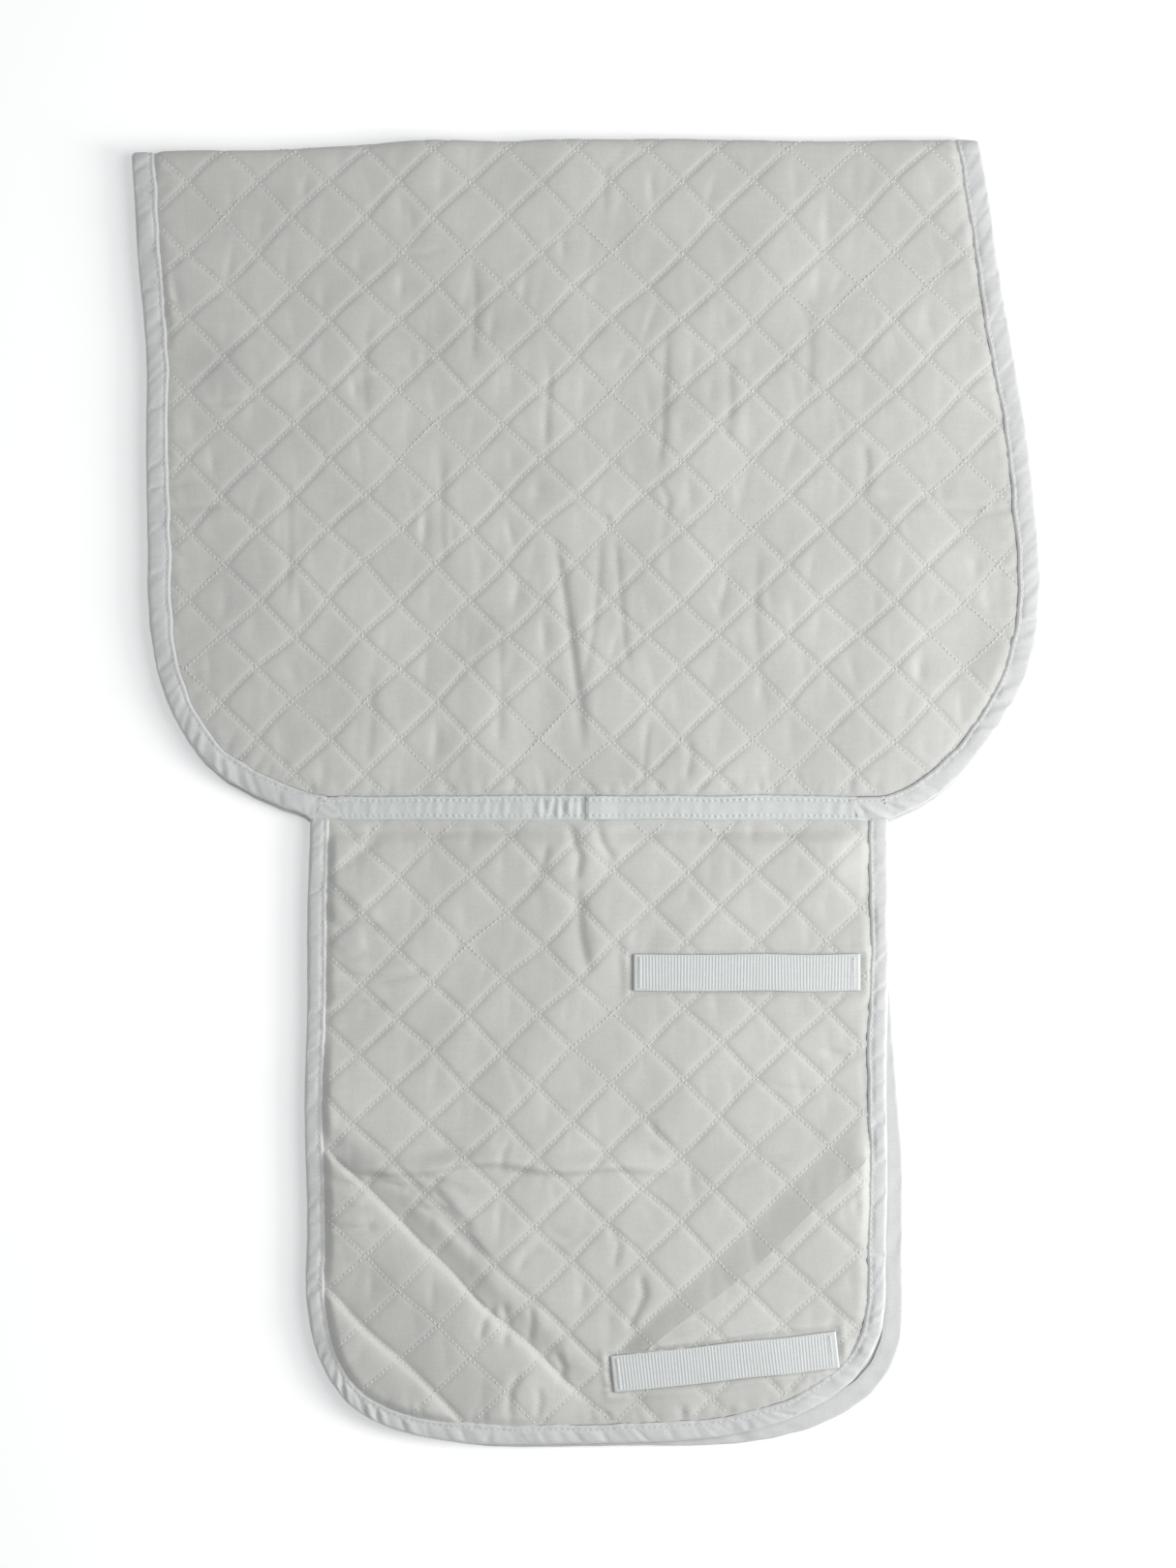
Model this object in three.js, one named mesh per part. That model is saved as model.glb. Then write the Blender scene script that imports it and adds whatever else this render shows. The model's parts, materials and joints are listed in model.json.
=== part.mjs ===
// A quilted cotton saddle pad with drop panels, folded in half along its spine and lying flat.
// Each half is a wide skirt with a narrower fender sewn below it under a tape, and two webbing
// keeper straps on the fender. Millimetres; +X is the front of the pad, +Y runs up to the spine,
// +Z runs up from the floor. The near half lies on top, the off half is its mirror image below.
// The origin is the bottom centre of the whole pad.
import * as THREE from "three";

// Heights, measured outwards from the plane where the two halves meet
const LINING_INNER = 0.5;          // the linings are 1 mm apart
const CLOTH = 0.8;                 // cover and lining cloth
const LAYER_GAP = 0.1;             // between two layers of one half
const SKIRT_WADDING = 5.0;
const FENDER_WADDING = 2.4;        // thinner, so that the straps lie level with the skirt
const SEWN_EDGE_INNER = 1.3;       // the layers are pressed flat where they are sewn
const SEWN_WADDING = 1.2;
const HALF_THICKNESS = LINING_INNER + 2 * (CLOTH + LAYER_GAP) + SKIRT_WADDING;
const MID_Z = HALF_THICKNESS;      // height of the meeting plane above the floor

// Binding, tape and webbing
const BINDING_WIDTH_SKIRT = 14;
const BINDING_WIDTH_FENDER = 12.5;
const BINDING_CLOTH = 0.8;
const BINDING_GAP = 0.1;
const SHOULDER = 8.5;              // from the sewn edge up to full thickness
const PANEL_SETBACK = 1.0;         // the cut edge of the layers inside the folded binding
const SKIRT_SPINE_SHOULDER = 6;    // the same shoulder at the edges next to the two hinges
const FENDER_TOP_SHOULDER = 12;
const TAPE_WIDTH = 16;
const TAPE_LAP = 8;                // the front length of tape lies over the rear one
const TAPE_JOG = 1.0;
const TAPE_CLEARANCE = 4.5;        // the bindings run in at a slant at both ends of the tape
const WEBBING_WIDTH = 25;
const WEBBING_THICKNESS = 1.4;
const STRAP_LENGTH = 156;
const SEWN_END_LENGTH = 8;
const SEWN_END_THICKNESS = 2.1;    // the webbing is folded under itself
const STRAP_TOP = 6.9;
const STRAP_GAP = 0.3;
const TACK_LENGTH = 21;
const TACK_WIDTH = 2.5;
const TACK_THICKNESS = 0.3;
const TACK_GAP = 0.05;

// Plan of the pad
const REAR_X = -312.5;
const FRONT_X = 312.5;
const SPINE_EDGE_Y = 450;
const HEM_Y = -450;
const SPINE_FOLD_RADIUS = 6.5;
const SPINE_AXIS_Y = SPINE_EDGE_Y - SPINE_FOLD_RADIUS;
const SPINE_CLEARANCE = 0.5;
const SPINE_CUT_Y = SPINE_AXIS_Y - SPINE_FOLD_RADIUS - SPINE_CLEARANCE;
const SPINE_FRONT_X = 272;
const SPINE_FOLD_SIDES = 24;
const SEAM_Y = -19.3;              // lower edge of the skirt and of the tape
const HINGE_GAP = 1.0;
const FENDER_TOP_Y = SEAM_Y - HINGE_GAP;
const SEAM_REAR_X = -190;
const SEAM_FRONT_X = 208;
const CORNER_STEPS = 9;
const EDGE_STEPS = 4;

const UPPER_STRAP = { x: 110, y: -124.5, tilt: 0 };
const LOWER_STRAP = { x: 95, y: -392, tilt: THREE.MathUtils.degToRad(6.2) };

const COTTON = new THREE.MeshStandardMaterial({ color: 0xc8c8c1, roughness: 0.9, metalness: 0 });
const LINING_COTTON = new THREE.MeshStandardMaterial({ color: 0xc4c4bd, roughness: 0.9, metalness: 0 });
const WADDING = new THREE.MeshStandardMaterial({ color: 0xe6e6e2, roughness: 1, metalness: 0 });
const BINDING = new THREE.MeshStandardMaterial({ color: 0xcacccb, roughness: 0.8, metalness: 0 });
const TAPE = new THREE.MeshStandardMaterial({ color: 0xcfd3d1, roughness: 0.75, metalness: 0 });
const WEBBING = new THREE.MeshStandardMaterial({ color: 0xd0d4d3, roughness: 0.7, metalness: 0 });
const THREAD = new THREE.MeshStandardMaterial({ color: 0xe2e4e2, roughness: 0.6, metalness: 0 });

// Outlines run anticlockwise seen from above; each stretch is a curve and its number of steps.
function outlineFrom(stretches) {
  const outline = [];
  for (const { curve, steps, bound } of stretches) {
    const points = curve.getPoints(steps).slice(0, -1);
    points.forEach((point) => outline.push({ point, bound }));
  }
  return outline;
}

const at = (x, y) => new THREE.Vector2(x, y);

function line(start, end) {
  return new THREE.LineCurve(start, end);
}

function skirtOutline() {
  const spineFront = at(SPINE_FRONT_X, SPINE_CUT_Y);
  const spineRear = at(REAR_X, SPINE_CUT_Y);
  const rearWaist = at(REAR_X + 9.5, 290);
  const rearCorner = at(REAR_X + 10, 146);
  const seamRear = at(SEAM_REAR_X, SEAM_Y);
  const seamFront = at(SEAM_FRONT_X, SEAM_Y);
  const frontCorner = at(FRONT_X, 146);
  return outlineFrom([
    { curve: line(spineFront, spineRear), steps: 1, bound: false },
    { curve: new THREE.QuadraticBezierCurve(spineRear, at(REAR_X + 9, 340), rearWaist),
      steps: EDGE_STEPS, bound: true },
    { curve: line(rearWaist, rearCorner), steps: 1, bound: true },
    { curve: new THREE.CubicBezierCurve(rearCorner, at(-296, 2), at(-228, 0), seamRear),
      steps: CORNER_STEPS, bound: true },
    { curve: line(seamRear, seamFront), steps: 1, bound: true },
    { curve: new THREE.CubicBezierCurve(seamFront, at(262, 0), at(310, 54), frontCorner),
      steps: CORNER_STEPS, bound: true },
    { curve: new THREE.CubicBezierCurve(frontCorner, at(311, 215), at(289, 320), spineFront),
      steps: EDGE_STEPS, bound: true },
  ]);
}

function fenderOutline() {
  const topFront = at(SEAM_FRONT_X, FENDER_TOP_Y);
  const topRear = at(SEAM_REAR_X, FENDER_TOP_Y);
  const rearCorner = at(-193, -330);
  const hem = at(-10, HEM_Y);
  const frontCorner = at(206, -332);
  return outlineFrom([
    { curve: line(topFront, topRear), steps: 1, bound: false },
    { curve: new THREE.QuadraticBezierCurve(topRear, at(-194, -205), rearCorner),
      steps: EDGE_STEPS, bound: true },
    { curve: new THREE.CubicBezierCurve(rearCorner, at(-187, -443), at(-142, -449), hem),
      steps: CORNER_STEPS, bound: true },
    { curve: new THREE.CubicBezierCurve(hem, at(143, -447), at(208, -425), frontCorner),
      steps: CORNER_STEPS, bound: true },
    { curve: line(frontCorner, topFront), steps: 1, bound: true },
  ]);
}

const NEARLY_STRAIGHT = 0.02;

// The outline moved inwards: bound edges by one distance, the open edge at the hinge by another.
function inset(outline, boundDistance, openDistance) {
  const count = outline.length;
  const edges = outline.map(({ point, bound }, i) => {
    const along = outline[(i + 1) % count].point.clone().sub(point).normalize();
    const normal = at(-along.y, along.x);
    return { normal, reach: normal.dot(point) + (bound ? boundDistance : openDistance) };
  });
  return edges.map((after, i) => {
    const before = edges[(i + count - 1) % count];
    const turn = before.normal.cross(after.normal);
    if (Math.abs(turn) < NEARLY_STRAIGHT) {
      const { point } = outline[i];
      const mean = before.normal.clone().add(after.normal).normalize();
      return point.clone().addScaledVector(mean, after.reach - after.normal.dot(point));
    }
    const x = (before.reach * after.normal.y - after.reach * before.normal.y) / turn;
    const y = (after.reach * before.normal.x - before.reach * after.normal.x) / turn;
    return at(x, y);
  });
}

function meshFrom(name, points, triangles, material) {
  const geometry = new THREE.BufferGeometry();
  geometry.setAttribute("position", new THREE.Float32BufferAttribute(points, 3));
  geometry.setIndex(triangles);
  geometry.computeVertexNormals();
  const mesh = new THREE.Mesh(geometry, material);
  mesh.name = name;
  return mesh;
}

// Quads between two rows of equal length, from row start `low` to row start `high`.
function bridge(triangles, low, high, i, next) {
  triangles.push(low + i, low + next, high + next);
  triangles.push(low + i, high + next, high + i);
}

// A closed solid skinned over loops of points, from the lower cap's rim to the upper cap's rim.
function skin(name, loops, material) {
  const count = loops[0].plan.length;
  const points = loops.flatMap(({ plan, z }) => plan.flatMap((p) => [p.x, p.y, z]));
  const triangles = [];
  for (let k = 0; k + 1 < loops.length; k += 1) {
    for (let i = 0; i < count; i += 1) {
      bridge(triangles, k * count, (k + 1) * count, i, (i + 1) % count);
    }
  }
  const last = (loops.length - 1) * count;
  THREE.ShapeUtils.triangulateShape(loops[0].plan, []).forEach(([a, b, c]) => {
    triangles.push(a, c, b);
  });
  THREE.ShapeUtils.triangulateShape(loops[loops.length - 1].plan, []).forEach(([a, b, c]) => {
    triangles.push(last + a, last + b, last + c);
  });
  return meshFrom(name, points, triangles, material);
}

// One layer of a panel: full height in the middle, pressed flat along its sewn edge.
// side is +1 for the near half and -1 for the off half.
function layer(name, panel, side, heights, material) {
  const { edge, hem, full } = panel.plans;
  const { sewnInner, sewnOuter, fullInner, fullOuter } = heights;
  const rings = [
    { plan: full, height: fullInner },
    { plan: hem, height: sewnInner },
    { plan: edge, height: sewnInner },
    { plan: edge, height: sewnOuter },
    { plan: hem, height: sewnOuter },
    { plan: full, height: fullOuter },
  ];
  const loops = rings.map(({ plan, height }) => ({ plan, z: MID_Z + side * height }));
  return skin(name, side > 0 ? loops : loops.reverse(), material);
}

function panelOf(outline, bindingWidth, wadding, openShoulder) {
  const hemDistance = bindingWidth + 2 * PANEL_SETBACK + BINDING_GAP;
  return {
    outline,
    bindingWidth,
    wadding,
    plans: {
      edge: inset(outline, PANEL_SETBACK, 0),
      hem: inset(outline, hemDistance, openShoulder / 4),
      full: inset(outline, hemDistance + SHOULDER, openShoulder),
    },
  };
}

function panelLayers(prefix, panel, side) {
  const liningOuter = LINING_INNER + CLOTH;
  const waddingInner = liningOuter + LAYER_GAP;
  const coverInner = waddingInner + panel.wadding + LAYER_GAP;
  const sewnLiningOuter = SEWN_EDGE_INNER + CLOTH;
  const sewnWaddingInner = sewnLiningOuter + LAYER_GAP;
  const sewnCoverInner = sewnWaddingInner + SEWN_WADDING + LAYER_GAP;
  const cover = {
    sewnInner: sewnCoverInner,
    sewnOuter: sewnCoverInner + CLOTH,
    fullInner: coverInner,
    fullOuter: coverInner + CLOTH,
  };
  const wadding = {
    sewnInner: sewnWaddingInner,
    sewnOuter: sewnWaddingInner + SEWN_WADDING,
    fullInner: waddingInner,
    fullOuter: waddingInner + panel.wadding,
  };
  const lining = {
    sewnInner: SEWN_EDGE_INNER,
    sewnOuter: sewnLiningOuter,
    fullInner: LINING_INNER,
    fullOuter: liningOuter,
  };
  return [
    layer(`${prefix}_cover`, panel, side, cover, COTTON),
    layer(`${prefix}_wadding`, panel, side, wadding, WADDING),
    layer(`${prefix}_lining`, panel, side, lining, LINING_COTTON),
  ];
}

const SEWN_EDGE_OUTER = SEWN_EDGE_INNER + 2 * (CLOTH + LAYER_GAP) + SEWN_WADDING;

// A folded binding: a U around the sewn edge, swept along part of the panel's outline.
function binding(name, panel, first, last, side) {
  const outerFace = SEWN_EDGE_OUTER + BINDING_GAP;
  const innerFace = SEWN_EDGE_INNER - BINDING_GAP;
  const section = [
    { depth: panel.bindingWidth, height: innerFace - BINDING_CLOTH },
    { depth: 0, height: innerFace - BINDING_CLOTH },
    { depth: 0, height: outerFace + BINDING_CLOTH },
    { depth: panel.bindingWidth, height: outerFace + BINDING_CLOTH },
    { depth: panel.bindingWidth, height: outerFace },
    { depth: BINDING_CLOTH, height: outerFace },
    { depth: BINDING_CLOTH, height: innerFace },
    { depth: panel.bindingWidth, height: innerFace },
  ];
  const ordered = side > 0 ? section : section.reverse();
  const rails = ordered.map(({ depth, height }) => ({
    plan: inset(panel.outline, depth, 0),
    z: MID_Z + side * height,
  }));
  const corners = rails.length;
  const total = panel.outline.length;
  const points = [];
  const stations = last - first + 1;
  for (let s = 0; s < stations; s += 1) {
    rails.forEach(({ plan, z }) => {
      const p = plan[(first + s) % total];
      points.push(p.x, p.y, z);
    });
  }
  const triangles = [];
  for (let s = 0; s + 1 < stations; s += 1) {
    for (let i = 0; i < corners; i += 1) {
      bridge(triangles, (s + 1) * corners, s * corners, i, (i + 1) % corners);
    }
  }
  const flat = ordered.map(({ depth, height }) => at(depth, side * height));
  const end = (stations - 1) * corners;
  THREE.ShapeUtils.triangulateShape(flat, []).forEach(([a, b, c]) => {
    triangles.push(a, c, b);
    triangles.push(end + a, end + b, end + c);
  });
  return meshFrom(name, points, triangles, BINDING);
}

// A section drawn in X and height, drawn out across the tape's width.
function tapeLength(name, section, side) {
  const shape = new THREE.Shape(section.map(([x, height]) => at(x, side * height)));
  const geometry = new THREE.ExtrudeGeometry(shape, { depth: TAPE_WIDTH, bevelEnabled: false });
  geometry.rotateX(Math.PI / 2);
  const mesh = new THREE.Mesh(geometry, TAPE);
  mesh.name = name;
  mesh.position.set(0, SEAM_Y + TAPE_WIDTH, MID_Z);
  return mesh;
}

function seamTapes(prefix, side) {
  const low = SEWN_EDGE_OUTER + BINDING_GAP;
  const high = low + CLOTH;
  const lapLow = high + BINDING_GAP;
  const lapHigh = lapLow + CLOTH;
  const rearStart = SEAM_REAR_X + TAPE_CLEARANCE;
  const frontEnd = SEAM_FRONT_X - TAPE_CLEARANCE;
  const rearEnd = TAPE_LAP - 2 * TAPE_JOG;
  return [
    tapeLength(`${prefix}_rear_seam_tape`, [
      [rearStart, low], [rearEnd, low], [rearEnd, high], [rearStart, high],
    ], side),
    tapeLength(`${prefix}_front_seam_tape`, [
      [0, lapLow], [TAPE_LAP - TAPE_JOG, lapLow], [TAPE_LAP, low], [frontEnd, low],
      [frontEnd, high], [TAPE_LAP + TAPE_JOG, high], [TAPE_LAP, lapHigh], [0, lapHigh],
    ], side),
  ];
}

function box(name, length, width, height, x, z, material) {
  const mesh = new THREE.Mesh(new THREE.BoxGeometry(length, width, height), material);
  mesh.name = name;
  mesh.position.set(x, 0, z);
  return mesh;
}

// A keeper strap: the free span, its two folded and sewn ends, and a bar tack across each end.
function strap(prefix, place, side) {
  const group = new THREE.Group();
  group.position.set(place.x, place.y, MID_Z);
  group.rotation.z = place.tilt;
  const spanLength = STRAP_LENGTH - 2 * (SEWN_END_LENGTH + STRAP_GAP);
  const spanZ = side * (STRAP_TOP - WEBBING_THICKNESS / 2);
  const endX = (STRAP_LENGTH - SEWN_END_LENGTH) / 2;
  const endZ = side * (STRAP_TOP - SEWN_END_THICKNESS / 2);
  const tackZ = side * (STRAP_TOP + TACK_GAP + TACK_THICKNESS / 2);
  group.add(box(`${prefix}_strap`, spanLength, WEBBING_WIDTH, WEBBING_THICKNESS, 0, spanZ, WEBBING));
  for (const [where, sign] of [["rear", -1], ["front", 1]]) {
    const end = box(`${prefix}_strap_${where}_end`, SEWN_END_LENGTH, WEBBING_WIDTH,
      SEWN_END_THICKNESS, sign * endX, endZ, WEBBING);
    const tack = box(`${prefix}_${where}_tack`, TACK_WIDTH, TACK_LENGTH,
      TACK_THICKNESS, sign * endX, tackZ, THREAD);
    group.add(end, tack);
  }
  return group;
}

function spineFold() {
  const length = SPINE_FRONT_X - REAR_X - 2 * PANEL_SETBACK;
  const geometry = new THREE.CylinderGeometry(
    SPINE_FOLD_RADIUS, SPINE_FOLD_RADIUS, length, SPINE_FOLD_SIDES);
  geometry.rotateZ(Math.PI / 2);
  const mesh = new THREE.Mesh(geometry, COTTON);
  mesh.name = "spine_fold";
  mesh.position.set((SPINE_FRONT_X + REAR_X) / 2, SPINE_AXIS_Y, MID_Z);
  return mesh;
}

// The skirt outline's points are counted from the spine's front corner.
const skirt = panelOf(skirtOutline(), BINDING_WIDTH_SKIRT, SKIRT_WADDING, SKIRT_SPINE_SHOULDER);
const fender = panelOf(fenderOutline(), BINDING_WIDTH_FENDER, FENDER_WADDING, FENDER_TOP_SHOULDER);
const REAR_BINDING_FIRST = 1;
const REAR_BINDING_LAST = REAR_BINDING_FIRST + EDGE_STEPS + 1 + CORNER_STEPS;
const FRONT_BINDING_FIRST = REAR_BINDING_LAST + 1;
const FRONT_BINDING_LAST = skirt.outline.length;

function half(prefix, side) {
  const group = new THREE.Group();
  group.add(...panelLayers(`${prefix}_skirt`, skirt, side));
  group.add(...panelLayers(`${prefix}_fender`, fender, side));
  group.add(binding(`${prefix}_rear_edge_binding`, skirt, REAR_BINDING_FIRST, REAR_BINDING_LAST, side));
  group.add(binding(`${prefix}_front_edge_binding`, skirt, FRONT_BINDING_FIRST, FRONT_BINDING_LAST, side));
  group.add(binding(`${prefix}_fender_binding`, fender, 1, fender.outline.length, side));
  group.add(...seamTapes(prefix, side));
  group.add(strap(`${prefix}_upper`, UPPER_STRAP, side));
  group.add(strap(`${prefix}_lower`, LOWER_STRAP, side));
  return group;
}

const pad = new THREE.Group();
pad.add(half("near", 1), half("off", -1), spineFold());

export default pad;
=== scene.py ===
"""A quilted cotton saddle pad, folded along its spine and lying flat, seen from straight above.

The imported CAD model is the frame. Each soft CAD solid is replaced by sewn cloth: quilted covers and
linings puffed by a cloth simulation between their stitch lines, bound edges, a taped seam, webbing
straps and the threads that hold them. Lengths are in millimetres until a mesh is made. Cloth is
first drawn flat, as x, a length up the pad and a height out from the plane where the halves meet;
lay() then puts it on its half, over the fold along the spine.
"""
import json
import math

import bpy
import numpy as np
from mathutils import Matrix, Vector


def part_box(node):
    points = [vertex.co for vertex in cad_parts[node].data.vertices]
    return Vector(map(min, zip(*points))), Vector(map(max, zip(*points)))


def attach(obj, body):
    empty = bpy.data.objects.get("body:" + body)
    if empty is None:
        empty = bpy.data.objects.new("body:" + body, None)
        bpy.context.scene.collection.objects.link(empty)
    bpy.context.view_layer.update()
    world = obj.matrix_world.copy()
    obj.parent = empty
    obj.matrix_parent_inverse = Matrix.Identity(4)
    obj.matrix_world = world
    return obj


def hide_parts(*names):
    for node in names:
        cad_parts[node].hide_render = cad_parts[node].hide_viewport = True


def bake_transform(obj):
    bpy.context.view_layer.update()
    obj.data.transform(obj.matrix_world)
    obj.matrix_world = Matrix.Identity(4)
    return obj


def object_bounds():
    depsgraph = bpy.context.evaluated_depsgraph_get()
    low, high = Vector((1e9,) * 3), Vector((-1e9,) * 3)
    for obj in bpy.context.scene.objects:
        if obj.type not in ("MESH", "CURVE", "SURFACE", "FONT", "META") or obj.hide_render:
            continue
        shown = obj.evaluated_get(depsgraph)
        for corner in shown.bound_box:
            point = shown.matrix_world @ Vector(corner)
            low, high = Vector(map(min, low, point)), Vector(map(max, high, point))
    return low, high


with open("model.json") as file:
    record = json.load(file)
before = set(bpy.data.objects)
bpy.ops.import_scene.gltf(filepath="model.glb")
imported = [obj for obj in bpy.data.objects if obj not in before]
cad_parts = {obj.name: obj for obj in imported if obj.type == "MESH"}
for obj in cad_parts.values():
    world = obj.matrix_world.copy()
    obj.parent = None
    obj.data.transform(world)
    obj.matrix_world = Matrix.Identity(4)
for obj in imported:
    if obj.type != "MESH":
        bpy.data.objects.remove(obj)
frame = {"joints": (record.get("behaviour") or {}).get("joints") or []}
cad_low, cad_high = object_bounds()

MM = 0.001
NEAR, OFF = 1, -1
HALVES = {NEAR: "near", OFF: "off"}


def cad_box(node):
    """Lowest and highest corner of a CAD node in millimetres."""
    low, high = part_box(node)
    return np.array(low) / MM, np.array(high) / MM


def up(side):
    """The direction outwards from a half's flat cloth."""
    return np.array([0.0, 0.0, float(side)])


def joint_point(name):
    """A joint's axis point in millimetres."""
    joint = next(j for j in frame["joints"] if j["name"] == name)
    return np.array(joint["pos_m"]) / MM


# --- Sizes read from the frame ---------------------------------------------------------------
SPINE_AXIS = joint_point("spine_hinge")
MID_Z = SPINE_AXIS[2]
SPINE_START = cad_box("near_skirt_cover")[1][1]
SPINE_SLACK = SPINE_AXIS[1] - SPINE_START
SEAM_Y = cad_box("near_rear_seam_tape")[0][1]
TAPE_TOP = cad_box("near_rear_seam_tape")[1][1]
TAPE_WIDTH = TAPE_TOP - SEAM_Y
REAR_X, FRONT_X = cad_low[0] / MM, cad_high[0] / MM
HEM_Y = cad_low[1] / MM

# --- Heights outwards from the plane where the halves meet -----------------------------------
STITCH_HEIGHT = 4.5          # the cover where a stitch pulls it down
SEWN_HEIGHT = 3.7            # the cover inside a binding or under the tape
LINING_STITCH = 1.9
LINING_SEWN = 1.6
LINING_CROWN = 0.45
CLOTH = 0.7
BINDING_FACE = 5.0
BINDING_INNER = 0.45
PUFF_CROWN = {"skirt": 0.9, "fender": 0.95}      # how high a diamond stands above its stitches
PUFF_SOFTNESS = {"skirt": 0.6, "fender": 0.75}   # smaller: flatter top and steeper sides
PUFF_LINING = 0.55
GATHERS = {"skirt": 0.24, "fender": 0.18}        # how deep the slack inside a diamond gathers
PRESS_START = 6.9            # the floor starts to press the underside's padding at this height
FLOOR_GAP = 7.7              # and has pressed it flat at this one

# --- Quilting --------------------------------------------------------------------------------
DIAMOND_X = 48.5
SKIRT_DIAMOND = (-225.7, 275.2, 47.8)     # a crossing of the stitch lines, and a diamond's height
FENDER_DIAMOND = (-4.7, -79.1, 47.3)
CELLS = 8                    # mesh cells along a diamond's side
FINE = 2                     # the outer cover has this many times the cells
STITCH_PITCH = 3.5
STITCH_LENGTH = 2.35
STITCH_RADIUS = 0.44
STITCH_PULL = 0.20           # a thread cuts this deep into the cloth
FOLD_QUARTER = 18.0          # cloth length from the flat skirt to the middle of the spine fold
SKIRT_BINDING = 16.0
FENDER_BINDING = 13.5
SKIRT_COVER_END = SEAM_Y + 5.2            # the two covers meet under the tape
FENDER_COVER_END = SEAM_Y + 5.0
COVER_REACH = 3.4            # the outer cloth of the spine fold turns within this height each way
LINING_REACH = 0.4


# --- Small maths -----------------------------------------------------------------------------
def smooth(t):
    """0 below 0, 1 above 1 and a soft step between."""
    t = np.clip(t, 0.0, 1.0)
    return t * t * (3 - 2 * t)


def bump(t):
    """1 at 0, fading to nothing by 2 either way."""
    return np.exp(-t * t)


def ripple(x, y, wavelength, seed, count=7):
    """A smooth wandering field, mostly between -1 and 1."""
    rng = np.random.default_rng(seed)
    total = np.zeros(np.broadcast(x, y).shape)
    for _ in range(count):
        angle = rng.uniform(0, math.tau)
        length = wavelength * rng.uniform(0.7, 1.6)
        phase = rng.uniform(0, math.tau)
        total += np.sin((x * math.cos(angle) + y * math.sin(angle)) * math.tau / length + phase)
    return total / math.sqrt(count)


def bezier(points, steps):
    """Points along a Bezier curve of any degree, without its last point."""
    points = np.array(points, float)
    degree = len(points) - 1
    t = np.linspace(0, 1, steps, endpoint=False)[:, None]
    return sum(math.comb(degree, k) * (1 - t) ** (degree - k) * t ** k * points[k]
               for k in range(degree + 1))


def lengths_along(line):
    """Length passed at each point of a polyline."""
    return np.concatenate([[0], np.cumsum(np.linalg.norm(np.diff(line, axis=0), axis=1))])


def resample(path, spacing):
    """Points at an even spacing along a polyline, ends kept."""
    length = lengths_along(path)
    count = max(2, int(round(length[-1] / spacing)) + 1)
    at = np.linspace(0, length[-1], count)
    return np.stack([np.interp(at, length, path[:, 0]), np.interp(at, length, path[:, 1])], 1)


def along_path(x, y, path):
    """Signed distance to a polyline, positive on its left, and the share of its length passed."""
    path = np.array(path, float)
    steps = np.diff(path, axis=0)
    starts = lengths_along(path)
    lengths = np.diff(starts)
    best = np.full(np.shape(x), np.inf)
    side = np.ones(np.shape(x))
    share = np.zeros(np.shape(x))
    for (ax, ay), (ex, ey), length, start in zip(path, steps, lengths, starts):
        t = np.clip(((x - ax) * ex + (y - ay) * ey) / length ** 2, 0, 1)
        distance = np.hypot(x - ax - t * ex, y - ay - t * ey)
        closer = distance < best
        best = np.where(closer, distance, best)
        side = np.where(closer, np.where(ex * (y - ay) >= ey * (x - ax), 1.0, -1.0), side)
        share = np.where(closer, (start + t * length) / starts[-1], share)
    return best * side, share


# --- Outlines, anticlockwise seen from above -------------------------------------------------
REAR_EDGE = [(REAR_X, SPINE_START), (REAR_X + 9, 340), (REAR_X + 9.5, 290)]
REAR_CORNER = [(REAR_X + 10, 146), (-296, 2), (-228, 0), (-190, SEAM_Y)]
FRONT_CORNER = [(208, SEAM_Y), (262, 0), (310, 54), (FRONT_X, 146)]
FRONT_EDGE = [(FRONT_X, 146), (311, 215), (289, 320), (272, SPINE_START)]
FENDER_REAR = [(-190, SEAM_Y), (-194, -205), (-193, -330)]
FENDER_REAR_CORNER = [(-193, -330), (-187, -443), (-142, -449), (-10, HEM_Y)]
FENDER_FRONT_CORNER = [(-10, HEM_Y), (143, -447), (208, -425), (206, -332)]
SPINE_END = SPINE_START + FOLD_QUARTER
TUCK = 9.0                   # how far the fender's sides run up under the tape


def rear_binding_path():
    top = [[REAR_X - 0.5, SPINE_END], [REAR_X, SPINE_START + 4]]
    seam = [[-190, SEAM_Y], [-166, SEAM_Y]]
    return np.vstack([top, bezier(REAR_EDGE, 30), bezier(REAR_CORNER, 50), seam])


def front_binding_path():
    top = [[272, SPINE_START], [271, SPINE_START + 6], [269, SPINE_END]]
    seam = [[188, SEAM_Y]]
    return np.vstack([seam, bezier(FRONT_CORNER, 50), bezier(FRONT_EDGE, 50), top])


def fender_binding_path():
    start = [[-190, SEAM_Y + TUCK]]
    end = [[206, -332], [208, SEAM_Y], [208, SEAM_Y + TUCK]]
    return np.vstack([start, bezier(FENDER_REAR, 30), bezier(FENDER_REAR_CORNER, 50),
                      bezier(FENDER_FRONT_CORNER, 50), end])


def inside(x, y, outline):
    """Which points lie inside a closed polygon."""
    found = np.zeros(np.shape(x), bool)
    for (ax, ay), (bx, by) in zip(outline, np.roll(outline, -1, axis=0)):
        crosses = (ay > y) != (by > y)
        at = ax + (y - ay) / (by - ay + 1e-12) * (bx - ax)
        found ^= crosses & (x < at)
    return found


# --- Where cloth lies ------------------------------------------------------------------------
SPINE_DIP = 9.0              # the spine line falls towards the rear
OFF_SLIP_X, OFF_SLIP_Y = 11.0, -2.6       # how far the under half has slipped, forwards and down
OFF_CORNER_DROP, OFF_CORNER_SLIP = 7.0, 3.0    # and its front lower corner further still
ROLL_POWER = 3.0             # a fold's section: 2 would be an ellipse, more is squarer
FOLD_DEPTH = 13.5            # how far the fold reaches past the flat skirt


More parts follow.
